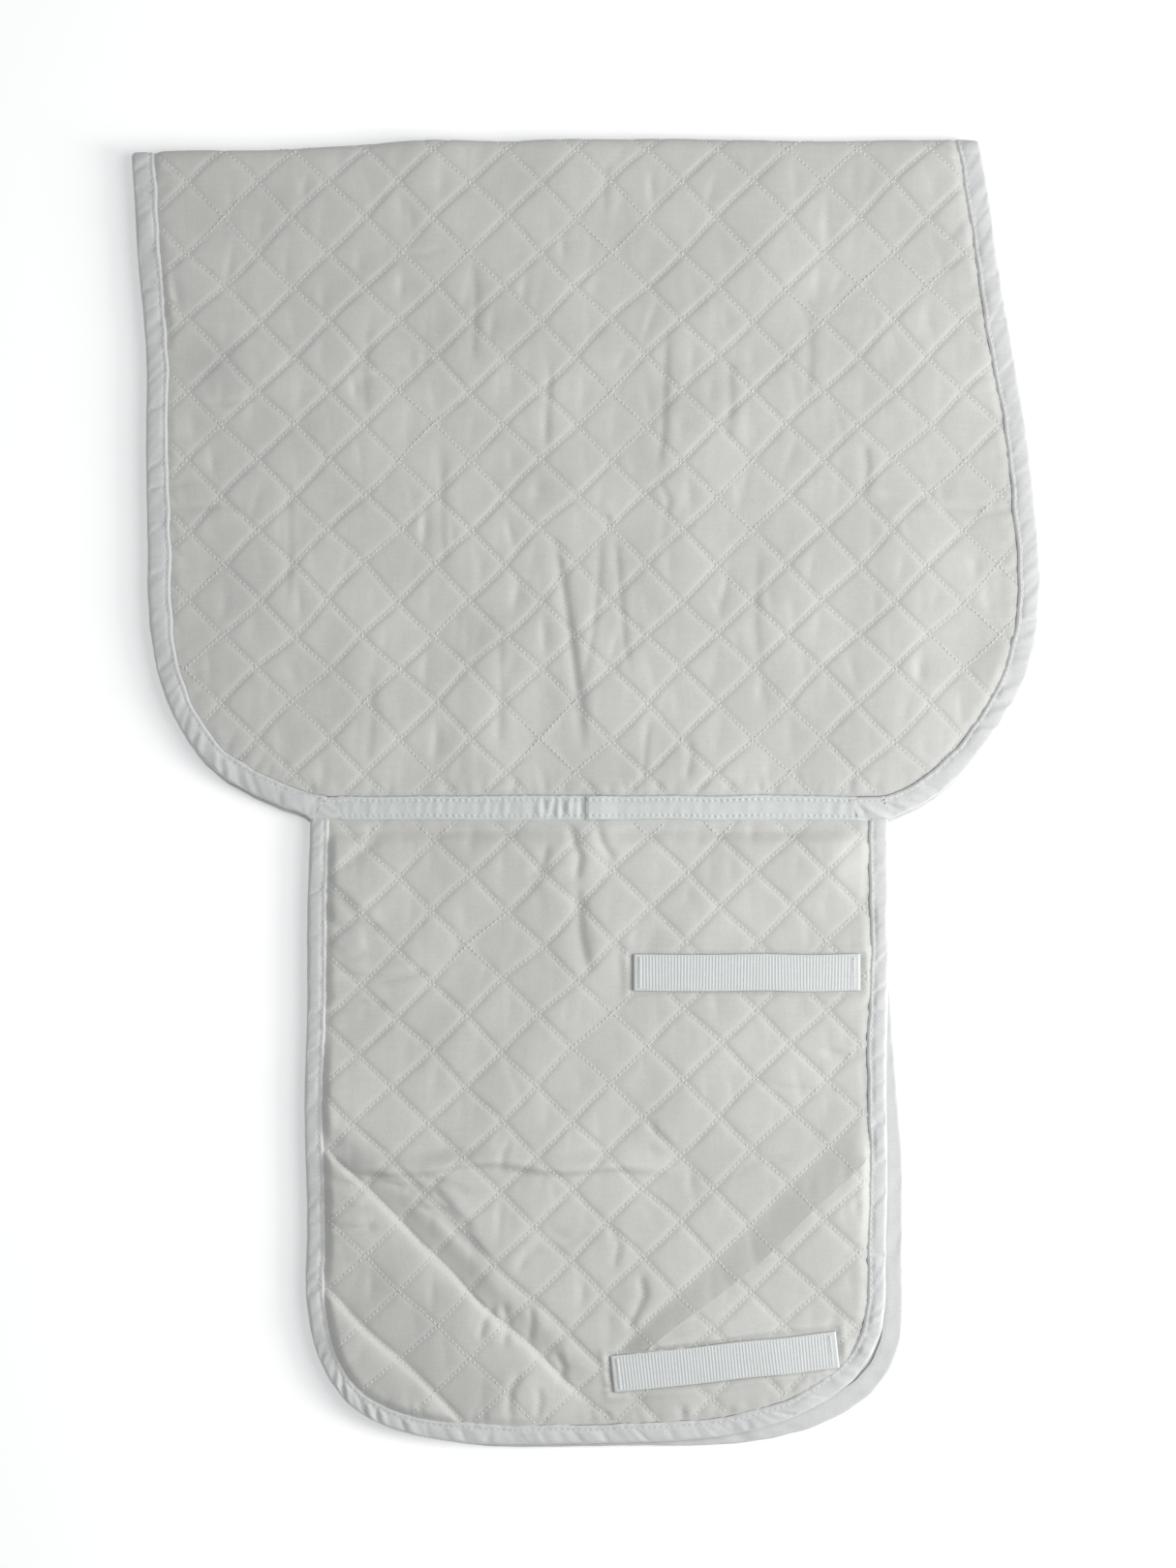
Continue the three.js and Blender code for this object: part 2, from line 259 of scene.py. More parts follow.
def fold_section():
    """Points round a quarter of the fold's section, by share of its length."""
    t = np.linspace(0, math.pi / 2, 400)
    out = np.sin(t) ** (2 / ROLL_POWER)
    up = np.cos(t) ** (2 / ROLL_POWER)
    length = lengths_along(np.stack([out * FOLD_DEPTH, up * MID_Z], 1))
    return length / length[-1], out, up


FOLD_SHARE, FOLD_OUT, FOLD_UP = fold_section()


def spine_fall(x, y):
    """How far the fold has dropped at a point, as a share of its drop at the rear end."""
    return smooth((-x - 60) / 255) * smooth((y - 150) / 300)


def lay(side, x, s, h):
    """World position of cloth at x, at length s from the hem line up the pad, h out from mid plane."""
    x = np.asarray(x, float)
    if side == OFF:
        give = FLOOR_GAP - PRESS_START
        h = np.where(h > PRESS_START, PRESS_START + give * np.tanh((h - PRESS_START) / give), h)
    turn = np.clip((s - SPINE_START) / FOLD_QUARTER, 0, 1)
    out = np.interp(turn, FOLD_SHARE, FOLD_OUT)
    up = np.interp(turn, FOLD_SHARE, FOLD_UP)
    y = np.where(s > SPINE_START, SPINE_START + out * (SPINE_SLACK + np.minimum(h, 7.0)), s)
    z = h * up
    y = y - SPINE_DIP * spine_fall(x, y)
    y = y - 0.35 * (0.5 + 0.5 * ripple(x, 0, 110, 13)) * smooth((y - 400) / 40)
    x = x + 0.9 * ripple(x, y, 120, 11) * smooth((450 - y) / 60)
    y = y + 0.9 * ripple(x, y, 140, 12) * smooth((440 - y) / 60) * smooth(np.abs(y - SEAM_Y) / 40)
    if side == OFF:
        low = smooth((-90 - y) / 170)
        drop = OFF_CORNER_DROP * smooth(x / 210) * smooth((-150 - y) / 260)
        x = x + OFF_SLIP_X * low + OFF_CORNER_SLIP * smooth((-240 - y) / 210) * smooth((x - 20) / 190)
        y = y + OFF_SLIP_Y * smooth((160 - y) / 200) - drop
    return np.stack([x, y, MID_Z + side * z], -1)


# --- Creases from storage and handling: (path, width on its left, width on its right, depth) --------
SKIRT_CREASES = [
    ([(14, 436), (12, 405), (13, 396)], 3.0, 5.0, 1.0),
    ([(-25, 300), (-28, 262), (-28, 229)], 2.2, 5.0, 1.3),
    ([(56, 322), (54, 274), (53, 250), (48, 216)], 2.2, 7.0, 1.5),
    ([(97, 300), (99, 262), (96, 238)], 2.5, 8.0, 1.2),
    ([(-24, 182), (-17, 145), (-14, 124), (-5, 58), (-2, 24)], 3.0, 6.5, 3.0),
    ([(10, 180), (9, 153), (3, 108), (-4, 69)], 2.2, 3.0, 1.1),
    ([(20, 180), (23, 140), (26, 100), (31, 76)], 2.0, 3.0, 1.1),
    ([(42, 52), (39, 18), (37, 4)], 1.8, 2.6, 1.0),
    ([(6, 192), (14, 188), (17, 176)], 1.6, 2.4, 1.7),
    ([(49, 213), (56, 200), (54, 188)], 1.8, 2.6, 1.5),
    ([(-40, 205), (-16, 198), (0, 194)], 3.0, 3.0, 1.2),
    ([(-150, 330), (-152, 285), (-150, 250)], 3.0, 9.0, 1.1),
    ([(-78, 372), (-76, 330), (-79, 290)], 3.0, 8.0, 1.1),
    ([(-100, 240), (-101, 190), (-98, 150)], 3.0, 9.0, 1.1),
    ([(-205, 215), (-204, 170), (-207, 120)], 3.0, 9.0, 1.0),
    ([(152, 350), (154, 300), (151, 262)], 3.0, 8.0, 1.2),
    ([(118, 172), (116, 120), (119, 80)], 3.0, 9.0, 1.0),
    ([(190, 240), (193, 222), (189, 200)], 2.2, 5.0, 1.5),
    ([(-303, 198), (-272, 196), (-250, 198), (-232, 194)], 4.0, 4.0, 2.4),
    ([(-262, 272), (-246, 270), (-226, 274)], 2.6, 4.0, 1.4),
    ([(240, 197), (262, 194), (285, 193), (306, 194)], 2.6, 5.0, 2.2),
    ([(200, 204), (222, 199), (238, 194)], 2.6, 4.0, 1.4),
    ([(-160, 283), (-136, 287), (-112, 281)], 2.2, 3.0, 0.9),
    ([(-128, 372), (-112, 370), (-96, 374)], 2.2, 3.0, 0.9),
    ([(-246, 330), (-205, 300), (-180, 270)], 14.0, 10.0, 1.2),
    ([(-60, 110), (-58, 70), (-62, 26)], 3.5, 9.0, 1.3),
    ([(-150, 90), (-148, 50), (-152, 12)], 3.5, 9.0, 1.1),
    ([(70, 40), (72, 22), (68, 6)], 2.4, 4.0, 1.3),
]
FENDER_CREASES = [
    ([(-176, -29), (-140, -26), (-60, -27), (-15, -25)], 3.0, 9.0, 3.0),
    ([(8, -26), (70, -25), (130, -27), (196, -24)], 3.0, 8.0, 2.4),
    ([(-172, -57), (-156, -42), (-140, -30)], 2.5, 9.0, 2.6),
    ([(-12, -23), (-4, -45), (-7, -64)], 3.0, 6.0, 3.0),
    ([(6, -21), (12, -38), (20, -50)], 2.6, 4.0, 2.6),
    ([(-26, -34), (-30, -52), (-42, -60)], 3.0, 6.0, 1.9),
    ([(-6, -60), (-4, -96), (2, -128)], 4.0, 10.0, 2.8),
    ([(-180, -93), (-160, -92), (-140, -95)], 2.6, 5.0, 3.4),
    ([(-176, -125), (-140, -128), (-108, -123)], 2.6, 5.0, 3.2),
    ([(-180, -148), (-156, -144), (-136, -147)], 2.4, 4.6, 2.6),
    ([(-181, -70), (-168, -76), (-156, -88)], 2.4, 4.6, 2.6),
    ([(-178, -108), (-166, -112), (-150, -110)], 2.2, 4.0, 2.2),
    ([(160, -178), (178, -182), (198, -180)], 2.4, 4.4, 2.6),
    ([(120, -202), (150, -206), (180, -204)], 2.4, 4.4, 2.0),
    ([(100, -262), (116, -254), (140, -252)], 2.4, 4.0, 1.5),
    ([(-118, -262), (-98, -270), (-78, -276)], 2.4, 4.0, 2.4),
    ([(-106, -284), (-88, -292), (-74, -304)], 2.4, 4.0, 2.2),
    ([(-56, -348), (-54, -366), (-57, -384)], 2.2, 3.4, 2.1),
    ([(-38, -350), (-37, -364), (-40, -382)], 2.2, 3.4, 2.1),
    ([(-22, -384), (-16, -396), (-20, -410)], 2.4, 3.6, 2.4),
    ([(-44, -398), (-52, -412), (-54, -432)], 2.4, 3.6, 2.1),
    ([(-34, -408), (-32, -420), (-34, -436)], 2.2, 3.2, 1.9),
    ([(36, -330), (40, -346), (28, -372)], 2.4, 4.6, 2.4),
    ([(14, -300), (22, -312), (18, -330)], 2.2, 3.6, 1.6),
    ([(44, -226), (48, -236), (60, -244)], 2.2, 3.0, 1.5),
    ([(12, -424), (13, -434), (15, -444)], 1.8, 2.8, 1.8),
    ([(66, -420), (68, -430), (67, -440)], 1.8, 2.8, 1.8),
    ([(98, -420), (99, -428), (97, -440)], 1.8, 2.8, 1.6),
    ([(-181, -266), (-166, -269), (-151, -275)], 2.4, 4.0, 3.2),
    ([(-180, -286), (-165, -285), (-150, -288)], 2.4, 4.0, 1.8),
    ([(-179, -298), (-160, -300), (-144, -298)], 2.4, 4.0, 3.0),
    ([(-146, -267), (-122, -273), (-104, -274), (-84, -296)], 3.0, 5.0, 3.4),
    ([(-122, -282), (-100, -291), (-84, -306), (-66, -322)], 3.0, 5.0, 3.2),
    ([(-60, -262), (-58, -246), (-52, -238)], 2.0, 3.4, 1.6),
    ([(-60, -350), (-70, -362), (-74, -378)], 2.4, 4.2, 2.2),
    ([(-30, -300), (-12, -308), (4, -304)], 2.6, 4.4, 1.6),
    ([(-48, -330), (-40, -316), (-30, -312)], 2.2, 4.0, 1.6),
]
CREASE_FLOOR = 1.2           # how round the bottom of a crease is

# The fender's folds. Lattice coordinates count diamonds: u up to the right, v down to the right.
# ROW_DRIFT is how far stitch rows lie off the even lattice, as (u, shift).
ROW_DRIFT = [(-9, 0.14), (-7, 0.12), (-6.2, 0.36), (-4, 0.24), (-2, 0.17), (0, 0.0)]
RIDGE_HEIGHT = 3.6           # the ridge above the folded-in rear corner
ROLL_HEIGHT = 4.8            # the first roll beyond it, and the corner's own roll
CORNER_HEIGHT = 4.2
CREASE_ROWS = ((-7.0, 0.9), (-9.0, 1.1), (-6.0, 0.5))     # rows creased sharply, and how deep
TRIANGLE_RISE = 2.9          # the front corner, raised beyond the pleat
STEP_Y, STEP_RISE = -258.0, 4.4           # a low step across the rear half
HANG_RISE = 2.4              # the cloth swells where it hangs from the tape
PLEAT_START = 7.02
PLEAT_ROW = 7.625            # the value of v where the pleat's lip lies
PLEAT_CLOSING = 0.30         # the lip closes on its row of stitches towards the lower strap
PLEAT_RISE = 5.2
PLEAT_OVERHANG = 3.0         # how far the lip is pushed over the cloth beside it


def rounded(distance):
    """Distance from the bottom of a crease, rounded off near 0."""
    return np.sqrt(distance ** 2 + CREASE_FLOOR ** 2) - CREASE_FLOOR


def creases(x, y, listed):
    """Sharp-bottomed grooves that open into soft sides."""
    total = np.zeros_like(x)
    for path, left, right, depth in listed:
        bound = np.array(path, float)
        low, high = bound.min(0) - 30, bound.max(0) + 30
        near = (x > low[0]) & (x < high[0]) & (y > low[1]) & (y < high[1])
        distance, share = along_path(x[near], y[near], path)
        width = np.where(distance > 0, left, right)
        ends = smooth(share / 0.22) * smooth((1 - share) / 0.22)
        shoulders = 0.55 * bump(distance / (1.5 * (left + right)))
        total[near] += depth * ends * (shoulders - np.exp(-rounded(distance) / width))
    return total


def fender_folds(u, v, x, y):
    """The fender's lasting folds, most of them along its rows of diamonds."""
    across = smooth((7.7 - v) / 1.6)
    ridge = RIDGE_HEIGHT * bump((u + 6.1) / 1.15) * smooth((u + 7.0) / 0.8)
    roll = ROLL_HEIGHT * np.sin(np.pi * np.clip((-7.0 - u) / 2.0, 0, 1) ** 0.4)
    corner = CORNER_HEIGHT * np.sin(np.pi * np.clip((-9.0 - u) / 2.8, 0, 1) ** 0.4)
    total = across * (ridge + roll + corner)
    for row, depth in CREASE_ROWS:
        total = total - depth * np.exp(-np.abs(u - row) / 0.07) * across
    beyond = v - PLEAT_ROW
    triangle = TRIANGLE_RISE * (beyond > 0.01) * (1 - smooth(beyond / 2.4))
    total = total + pleat_rows(u) * (pleat_share(v) * PLEAT_RISE + triangle)
    step_y = STEP_Y + 2.0 * ripple(x, 0, 90, 301)
    step = smooth((step_y + 13 - y) / 12) * smooth((y - step_y + 6.0) / 6.0)
    total = total + STEP_RISE * step * smooth((x + 178) / 25) * smooth((75 - x) / 60)
    hang = smooth((SEAM_Y - 7 - y) / 11) * (1 - smooth((SEAM_Y - 20 - y) / 55)) * smooth((194 - x) / 26)
    return total + (HANG_RISE + 0.8 * smooth((x - 60) / 60)) * hang


def fender_flatness(u, v):
    """How much of its puff a fender diamond keeps: less where the folds have stretched it."""
    stretched = smooth((-6.9 - u) / 0.4) * smooth((7.7 - v) / 1.6)
    return (1 - 0.5 * stretched) * (1 - 0.95 * pleat_band(u, v))


def pleat_rows(u):
    """The pleat's share of its full size at each row along it."""
    return smooth((u + 6.1) / 0.9) * smooth((0.9 - u) / 0.7)


def pleat_share(v):
    """The pleat climbs ever more steeply to its lip, then drops at once."""
    climb = np.clip((v - PLEAT_START) / (PLEAT_ROW - PLEAT_START), 0, 1) ** 1.35
    return climb * (v < PLEAT_ROW + 0.01)


def pleat_band(u, v):
    """1 on the smooth band of cloth between the stitches and the lip, where nothing is puffed."""
    return pleat_rows(u) * smooth((v - PLEAT_START + 0.14) / 0.14) * (v < PLEAT_ROW + 0.01)


def edge_puckers(along, depth, seed, reach, spacing=15.0):
    """Small tucks that start at a bound edge: along it and depth inwards, in millimetres."""
    rng = np.random.default_rng(seed)
    total = np.zeros_like(along)
    close = depth < reach * 2.4
    t, d = along[close], depth[close]
    found = np.zeros_like(t)
    at = 0.0
    while at < along.max():
        at += spacing * rng.uniform(0.45, 1.6)
        slant = rng.normal(0, 0.35)
        width = rng.uniform(1.4, 3.0)
        deep = rng.uniform(0.5, 1.5)
        length = reach * rng.uniform(0.4, 1.2)
        away = np.abs(t - at - slant * d)
        near = away < width * 6
        found[near] -= deep * np.exp(-away[near] / width) * np.exp(-(d[near] / length) ** 2)
    total[close] = found
    return total


# --- Straps ----------------------------------------------------------------------------------
WEBBING_HALF = 12.5
SEWN_HALF = 4.0              # half the length of a strap's sewn end


def strap_frame(side, which):
    """Centre, tilt and half length of a keeper strap, from its CAD span and ends."""
    prefix = f"{HALVES[side]}_{which}_strap"
    rear, front = (np.mean(cad_box(f"{prefix}_{end}_end"), axis=0)[:2] for end in ("rear", "front"))
    along = front - rear
    return (rear + front) / 2, math.atan2(along[1], along[0]), np.hypot(*along) / 2 + SEWN_HALF


STRAPS = {which: strap_frame(NEAR, which) for which in ("upper", "lower")}


def strap_local(x, y, which):
    """A point of the plan along and across a strap, and the strap's half length."""
    (cx, cy), tilt, half = STRAPS[which]
    lx = (x - cx) * math.cos(tilt) + (y - cy) * math.sin(tilt)
    ly = -(x - cx) * math.sin(tilt) + (y - cy) * math.cos(tilt)
    return lx, ly, half


def strap_plan(lx, ly, which):
    """The plan position of a point that is given along and across a strap."""
    (cx, cy), tilt, _ = STRAPS[which]
    x = cx + lx * math.cos(tilt) - ly * math.sin(tilt)
    y = cy + lx * math.sin(tilt) + ly * math.cos(tilt)
    return x, y


def press_under_straps(x, y, h):
    """The padding is flat under a strap and stands up in a crest just beside it."""
    for which in STRAPS:
        lx, ly, half = strap_local(x, y, which)
        out = np.maximum(np.abs(lx) - half, np.abs(ly) - WEBBING_HALF)
        under = 1 - smooth((out + 1.0) / 5.0)
        h = h + 0.9 * bump((out - 4.5) / 2.5)
        h = h * (1 - under) + 4.7 * under
    return h


# --- Panels on a lattice of diamonds ---------------------------------------------------------
class Panel:
    """A quilted panel meshed along its stitch lines: lattice lines at whole numbers are stitched."""

    def __init__(self, name, diamond, outline, bound, binding_width, top, bottom, crease_list, seed):
        self.name = name
        self.diamond = diamond
        self.bound = bound
        self.binding_width = binding_width
        self.top, self.bottom = top, bottom
        self.crease_list = crease_list
        self.seed = seed
        x0, y0, rise = diamond
        low, high = outline.min(0), outline.max(0)
        a = (low[0] - x0) / DIAMOND_X, (high[0] - x0) / DIAMOND_X
        b = (low[1] - y0) / rise, (high[1] - y0) / rise
        self.u0 = math.floor(a[0] + b[0]) - 1
        self.v0 = math.floor(a[0] - b[1]) - 1
        self.nu = (math.ceil(a[1] + b[1]) + 1 - self.u0) * CELLS
        self.nv = (math.ceil(a[1] - b[0]) + 1 - self.v0) * CELLS
        x, y = self.flat(1)
        clear = np.abs(along_path(x, y, resample(bound, 6.0))[0]) > 1.5
        below_top = inside(x, np.clip(y, bottom + 1, top - 1), outline) & clear
        within = inside(x, y, outline) & clear & (y < top - 0.4) & (y > bottom + 0.4)
        self.cells = corners(below_top).all(0) & corners(within).any(0)

    def rows(self, fine):
        """The lattice's own coordinates, with fine points per cell side."""
        step = 1.0 / (CELLS * fine)
        u = self.u0 + np.arange(self.nu * fine + 1)[:, None] * step
        v = self.v0 + np.arange(self.nv * fine + 1)[None, :] * step
        return u, v

    def place(self, u, v):
        """Where a lattice point lies before the cloth wanders."""
        x0, y0, rise = self.diamond
        return x0 + DIAMOND_X * (u + v) / 2, y0 + rise * (u - v) / 2

    def flat(self, fine):
        """Flat positions of the lattice points."""
        u, v = self.rows(fine)
        if self.name == "fender":
            closing = PLEAT_CLOSING * smooth((-1.5 - u) / 4.0)
            v = v - closing * np.interp(v, (7.0, PLEAT_ROW, 8.0), (0, 1, 0))
            u = u - np.interp(u, *np.transpose(ROW_DRIFT))
        x, y = self.place(u, v)
        x = x + 0.8 * ripple(x, y, 70, self.seed + 1)
        y = y + 0.8 * ripple(x, y, 70, self.seed + 2)
        if self.name == "skirt":
            y = y + SPINE_DIP * spine_fall(x, y)
        return x, y

    def stitch_distance(self, fine):
        """0 on a stitch line, rising to 0.5 in the middle of a diamond."""
        u, v = self.rows(fine)
        return np.minimum(np.minimum(u % 1, -u % 1), np.minimum(v % 1, -v % 1))

    def by_diamond(self, draw):
        """One drawn value for each diamond, at every point of the fine lattice."""
        drawn = draw((self.nu // CELLS + 2, self.nv // CELLS + 2))
        u, v = self.rows(FINE)
        return drawn[(np.floor(u) - self.u0).astype(int), (np.floor(v) - self.v0).astype(int)]


def corners(values):
    """The values at the four corners of every cell."""
    return np.stack([values[:-1, :-1], values[1:, :-1], values[:-1, 1:], values[1:, 1:]])


def corner_points(cells):
    """Lattice points used by a set of cells."""
    return corners(np.pad(cells, 1)).any(0)


def interior_points(cells):
    """Lattice points with all four cells around them present."""
    return corners(np.pad(cells, 1)).all(0)


def quads_of(cells, index):
    """Quads facing up for the cells set, as vertex numbers."""
    i, j = np.nonzero(cells)
    return np.stack([index[i, j], index[i, j + 1], index[i + 1, j + 1], index[i + 1, j]], 1)


def numbered(used, first=0):
    """Vertex numbers for the lattice points that are used."""
    index = np.full(used.shape, -1)
    index[used] = np.arange(used.sum()) + first
    return index


def new_object(name, points, faces):
    """A mesh object from points in millimetres and faces as a list of index arrays of any width."""
    mesh = bpy.data.meshes.new(name)
    mesh.vertices.add(len(points))
    mesh.vertices.foreach_set("co", (np.asarray(points, float) * MM).astype(np.float32).ravel())
    totals = np.concatenate([np.full(len(f), f.shape[1], np.int32) for f in faces])
    loops = np.concatenate([f.ravel() for f in faces]).astype(np.int32)
    mesh.loops.add(len(loops))
    mesh.loops.foreach_set("vertex_index", loops)
    mesh.polygons.add(len(totals))
    starts = np.concatenate([[0], np.cumsum(totals)[:-1]]).astype(np.int32)
    mesh.polygons.foreach_set("loop_start", starts)
    mesh.update(calc_edges=True)
    mesh.shade_smooth()
    piece = bpy.data.objects.new(name, mesh)
    bpy.context.scene.collection.objects.link(piece)
    return piece


# --- Cloth simulation of the puffed diamonds -------------------------------------------------
SIM_SCALE = 20.0             # the sheet is blown up enlarged, then brought back to size
SIM_FRAMES = 14
SLACK_ACROSS, SLACK_ALONG = 1.06, 1.005   # the sheet's own size against the room its stitches give it


def simulate_puff(panel):
    """Blow the flat cover up between its pinned stitch lines; returns displacements in mm."""
    x, y = panel.flat(1)
    used = corner_points(panel.cells)
    flat = np.stack([x[used], y[used], np.zeros(used.sum())], 1) * SIM_SCALE
    cloth = new_object("sim_" + panel.name, flat, [quads_of(panel.cells, numbered(used))])
    cloth.shape_key_add(name="Basis")
    rest = cloth.shape_key_add(name="slack")
    slack = flat * np.array([SLACK_ACROSS, SLACK_ALONG, 1.0]) * MM
    rest.data.foreach_set("co", slack.astype(np.float32).ravel())
    pinned = ~interior_points(panel.cells)
    pinned[::CELLS, :] = True
    pinned[:, ::CELLS] = True
    pinned = pinned[used]
    pins = cloth.vertex_groups.new(name="stitches")
    pins.add(np.nonzero(pinned)[0].tolist(), 1.0, "REPLACE")
    modifier = cloth.modifiers.new("cloth", "CLOTH")
    settings = modifier.settings
    settings.rest_shape_key = rest
    settings.vertex_group_mass = "stitches"
    settings.use_pressure = True
    settings.uniform_pressure_force = 4.0
    settings.effector_weights.gravity = 0.0
    settings.quality = 5
    settings.bending_stiffness = 0.01
    modifier.point_cache.frame_start = 1
    modifier.point_cache.frame_end = SIM_FRAMES
    for step in range(1, SIM_FRAMES + 1):
        bpy.context.scene.frame_set(step)
    shape = cloth.evaluated_get(bpy.context.evaluated_depsgraph_get()).data
    moved = np.zeros(len(flat) * 3, np.float32)
    shape.vertices.foreach_get("co", moved)
    bpy.data.objects.remove(cloth)
    bpy.context.scene.frame_set(1)
    result = np.zeros(used.shape + (3,))
    result[used] = (moved.reshape(-1, 3) / MM - flat) / SIM_SCALE
    return result


def doubled(values, between):
    """Values at twice the lattice's density; between gives those halfway between neighbours."""
    for axis in (0, 1):
        v = np.moveaxis(values, axis, 0)
        out = np.zeros((len(v) * 2 - 1,) + v.shape[1:])
        out[::2] = v
        out[1::2] = between(v)
        values = np.moveaxis(out, 0, axis)
    return values


def halfway(v):
    """The mean of each neighbouring pair."""
    return (v[:-1] + v[1:]) / 2


def rounded_halfway(v):
    """Halfway along a curve through the neighbours, which isn't carried across a stitch line."""
    middle = halfway(v)
    bulge = np.zeros_like(middle)
    bulge[1:-1] = (v[1:-2] + v[2:-1] - v[:-3] - v[3:]) / 16
    after = np.zeros_like(middle)
    after[:-1] = (v[1:-1] * 2 - v[:-2] - v[2:]) / 8
    before = np.zeros_like(middle)
    before[1:] = (v[1:-1] * 2 - v[2:] - v[:-2]) / 8
    k = np.arange(len(middle)) % CELLS
    bulge[k == 0] = after[k == 0]
    bulge[k == CELLS - 1] = before[k == CELLS - 1]
    return middle + bulge


def cell_wrinkles(panel, x, y, gathers):
    """Short upright creases inside each diamond, where the slack cloth gathers."""
    rng = np.random.default_rng(panel.seed)
    u, v = panel.rows(FINE)
    centre_x, centre_y = panel.place(np.floor(u) + 0.5, np.floor(v) + 0.5)
    total = np.zeros_like(x)
    for _ in range(3):
        offset = panel.by_diamond(lambda shape: rng.normal(0, 7.5, shape))
        tilt = panel.by_diamond(lambda shape: rng.normal(0.0, 0.16, shape))
        width = panel.by_diamond(lambda shape: rng.uniform(1.6, 4.2, shape))
        height = -panel.by_diamond(lambda shape: rng.gamma(1.3, gathers, shape))
        reach = panel.by_diamond(lambda shape: rng.uniform(7, 15, shape))
        middle = panel.by_diamond(lambda shape: rng.normal(0, 5, shape))
        away = x - centre_x - offset - tilt * (y - centre_y)
        lean = np.where(away < 0, 0.7, 1.9)
        length = bump((y - centre_y - middle) / reach)
        total += height * np.exp(-rounded(away) / (width * lean)) * length
    return total * smooth(panel.stitch_distance(FINE) / 0.10)


def edge_distance(panel, x, y):
    """Depth from the bound edge and the length along it, worked out on the coarse lattice."""
    path = resample(panel.bound, 8.0)
    distance, share = along_path(x[::FINE, ::FINE], y[::FINE, ::FINE], path)
    length = lengths_along(path)[-1]
    return doubled(np.abs(distance), halfway), doubled(share * length, halfway)


def relief(panel):
    """Plan position, cover height and lining height for every point of the fine lattice."""
    x, y = panel.flat(FINE)
    shift = doubled(panel.displacement, rounded_halfway)
    rng = np.random.default_rng(panel.seed + 5)
    loft = panel.by_diamond(lambda shape: 0.84 + 0.32 * rng.random(shape))
    risen = np.tanh(np.maximum(shift[..., 2], 0) / PUFF_SOFTNESS[panel.name])
    puff = PUFF_CROWN[panel.name] * loft * risen
    x = x + shift[..., 0]
    y_free = y + shift[..., 1]
    puff = puff * (1 - 0.6 * smooth((y_free - SPINE_START) / FOLD_QUARTER))
    y = np.clip(y_free, panel.bottom, panel.top)
    panel.depth, along = edge_distance(panel, x, y)
    rise = smooth((panel.depth - panel.binding_width + 3.0) / 8.0)
    if panel.name == "skirt":
        rise = rise * smooth((y - TAPE_TOP + 4.0) / 9.0)
    else:
        rise = rise * (0.35 + 0.65 * smooth((SEAM_Y - y) / 8.0))
    wander = 0.8 * ripple(x, y, 130, panel.seed + 9) + 0.45 * ripple(x, y, 60, panel.seed + 10)
    lines = creases(x, y, panel.crease_list)
    wrinkles = cell_wrinkles(panel, x, y_free, GATHERS[panel.name])
    lines = lines + wrinkles * smooth((SPINE_END - y) / 30)
    lines = lines + edge_puckers(along, panel.depth - panel.binding_width, panel.seed + 20, 11.0)
    if panel.name == "fender":
        u, v = np.broadcast_arrays(*panel.rows(FINE))
        lines = lines + fender_folds(u, v, x, y)
        puff = puff * fender_flatness(u, v)
        over = PLEAT_OVERHANG * math.sqrt(0.5) * pleat_share(v) ** 3 * pleat_rows(u) * rise
        x, y = x + over, y - over
    else:
        hem = edge_puckers(x - REAR_X, y - TAPE_TOP, panel.seed + 21, 12.0, 22.0)
        lines = lines + hem * smooth((y - TAPE_TOP) / 2)
    base = SEWN_HEIGHT + (STITCH_HEIGHT - SEWN_HEIGHT) * rise
    cover = base + rise * (puff + wander + lines - STITCH_PULL * (panel.stitch_distance(FINE) < 0.01))
    if panel.name == "fender":
        cover = press_under_straps(x, y, cover)
    lining_base = LINING_SEWN + (LINING_STITCH - LINING_SEWN) * rise
    lining = np.maximum(lining_base - rise * PUFF_LINING * puff, LINING_CROWN)
    cover = np.maximum(cover, lining + 2.2 * CLOTH + 0.5)
    return x, y, cover, lining


def grid_normals(points, side, lip=None):
    """Outward unit normals of a whole lattice, so pieces cut from it shade as one cloth."""
    along_u = np.gradient(points, axis=0)
    along_v = np.gradient(points, axis=1)
    if lip is not None:
        along_v[:, lip] = points[:, lip] - points[:, lip - 1]
        along_v[:, lip + 1] = points[:, lip + 2] - points[:, lip + 1]
    normals = np.cross(along_v, along_u) * side
    size = np.linalg.norm(normals, axis=-1, keepdims=True)
    return np.where(size > 1e-6, normals / np.maximum(size, 1e-6), up(side))


def divided(cells, ratio):
    """The same cells, each cut into ratio by ratio smaller ones."""
    return np.repeat(np.repeat(cells, ratio, 0), ratio, 1)


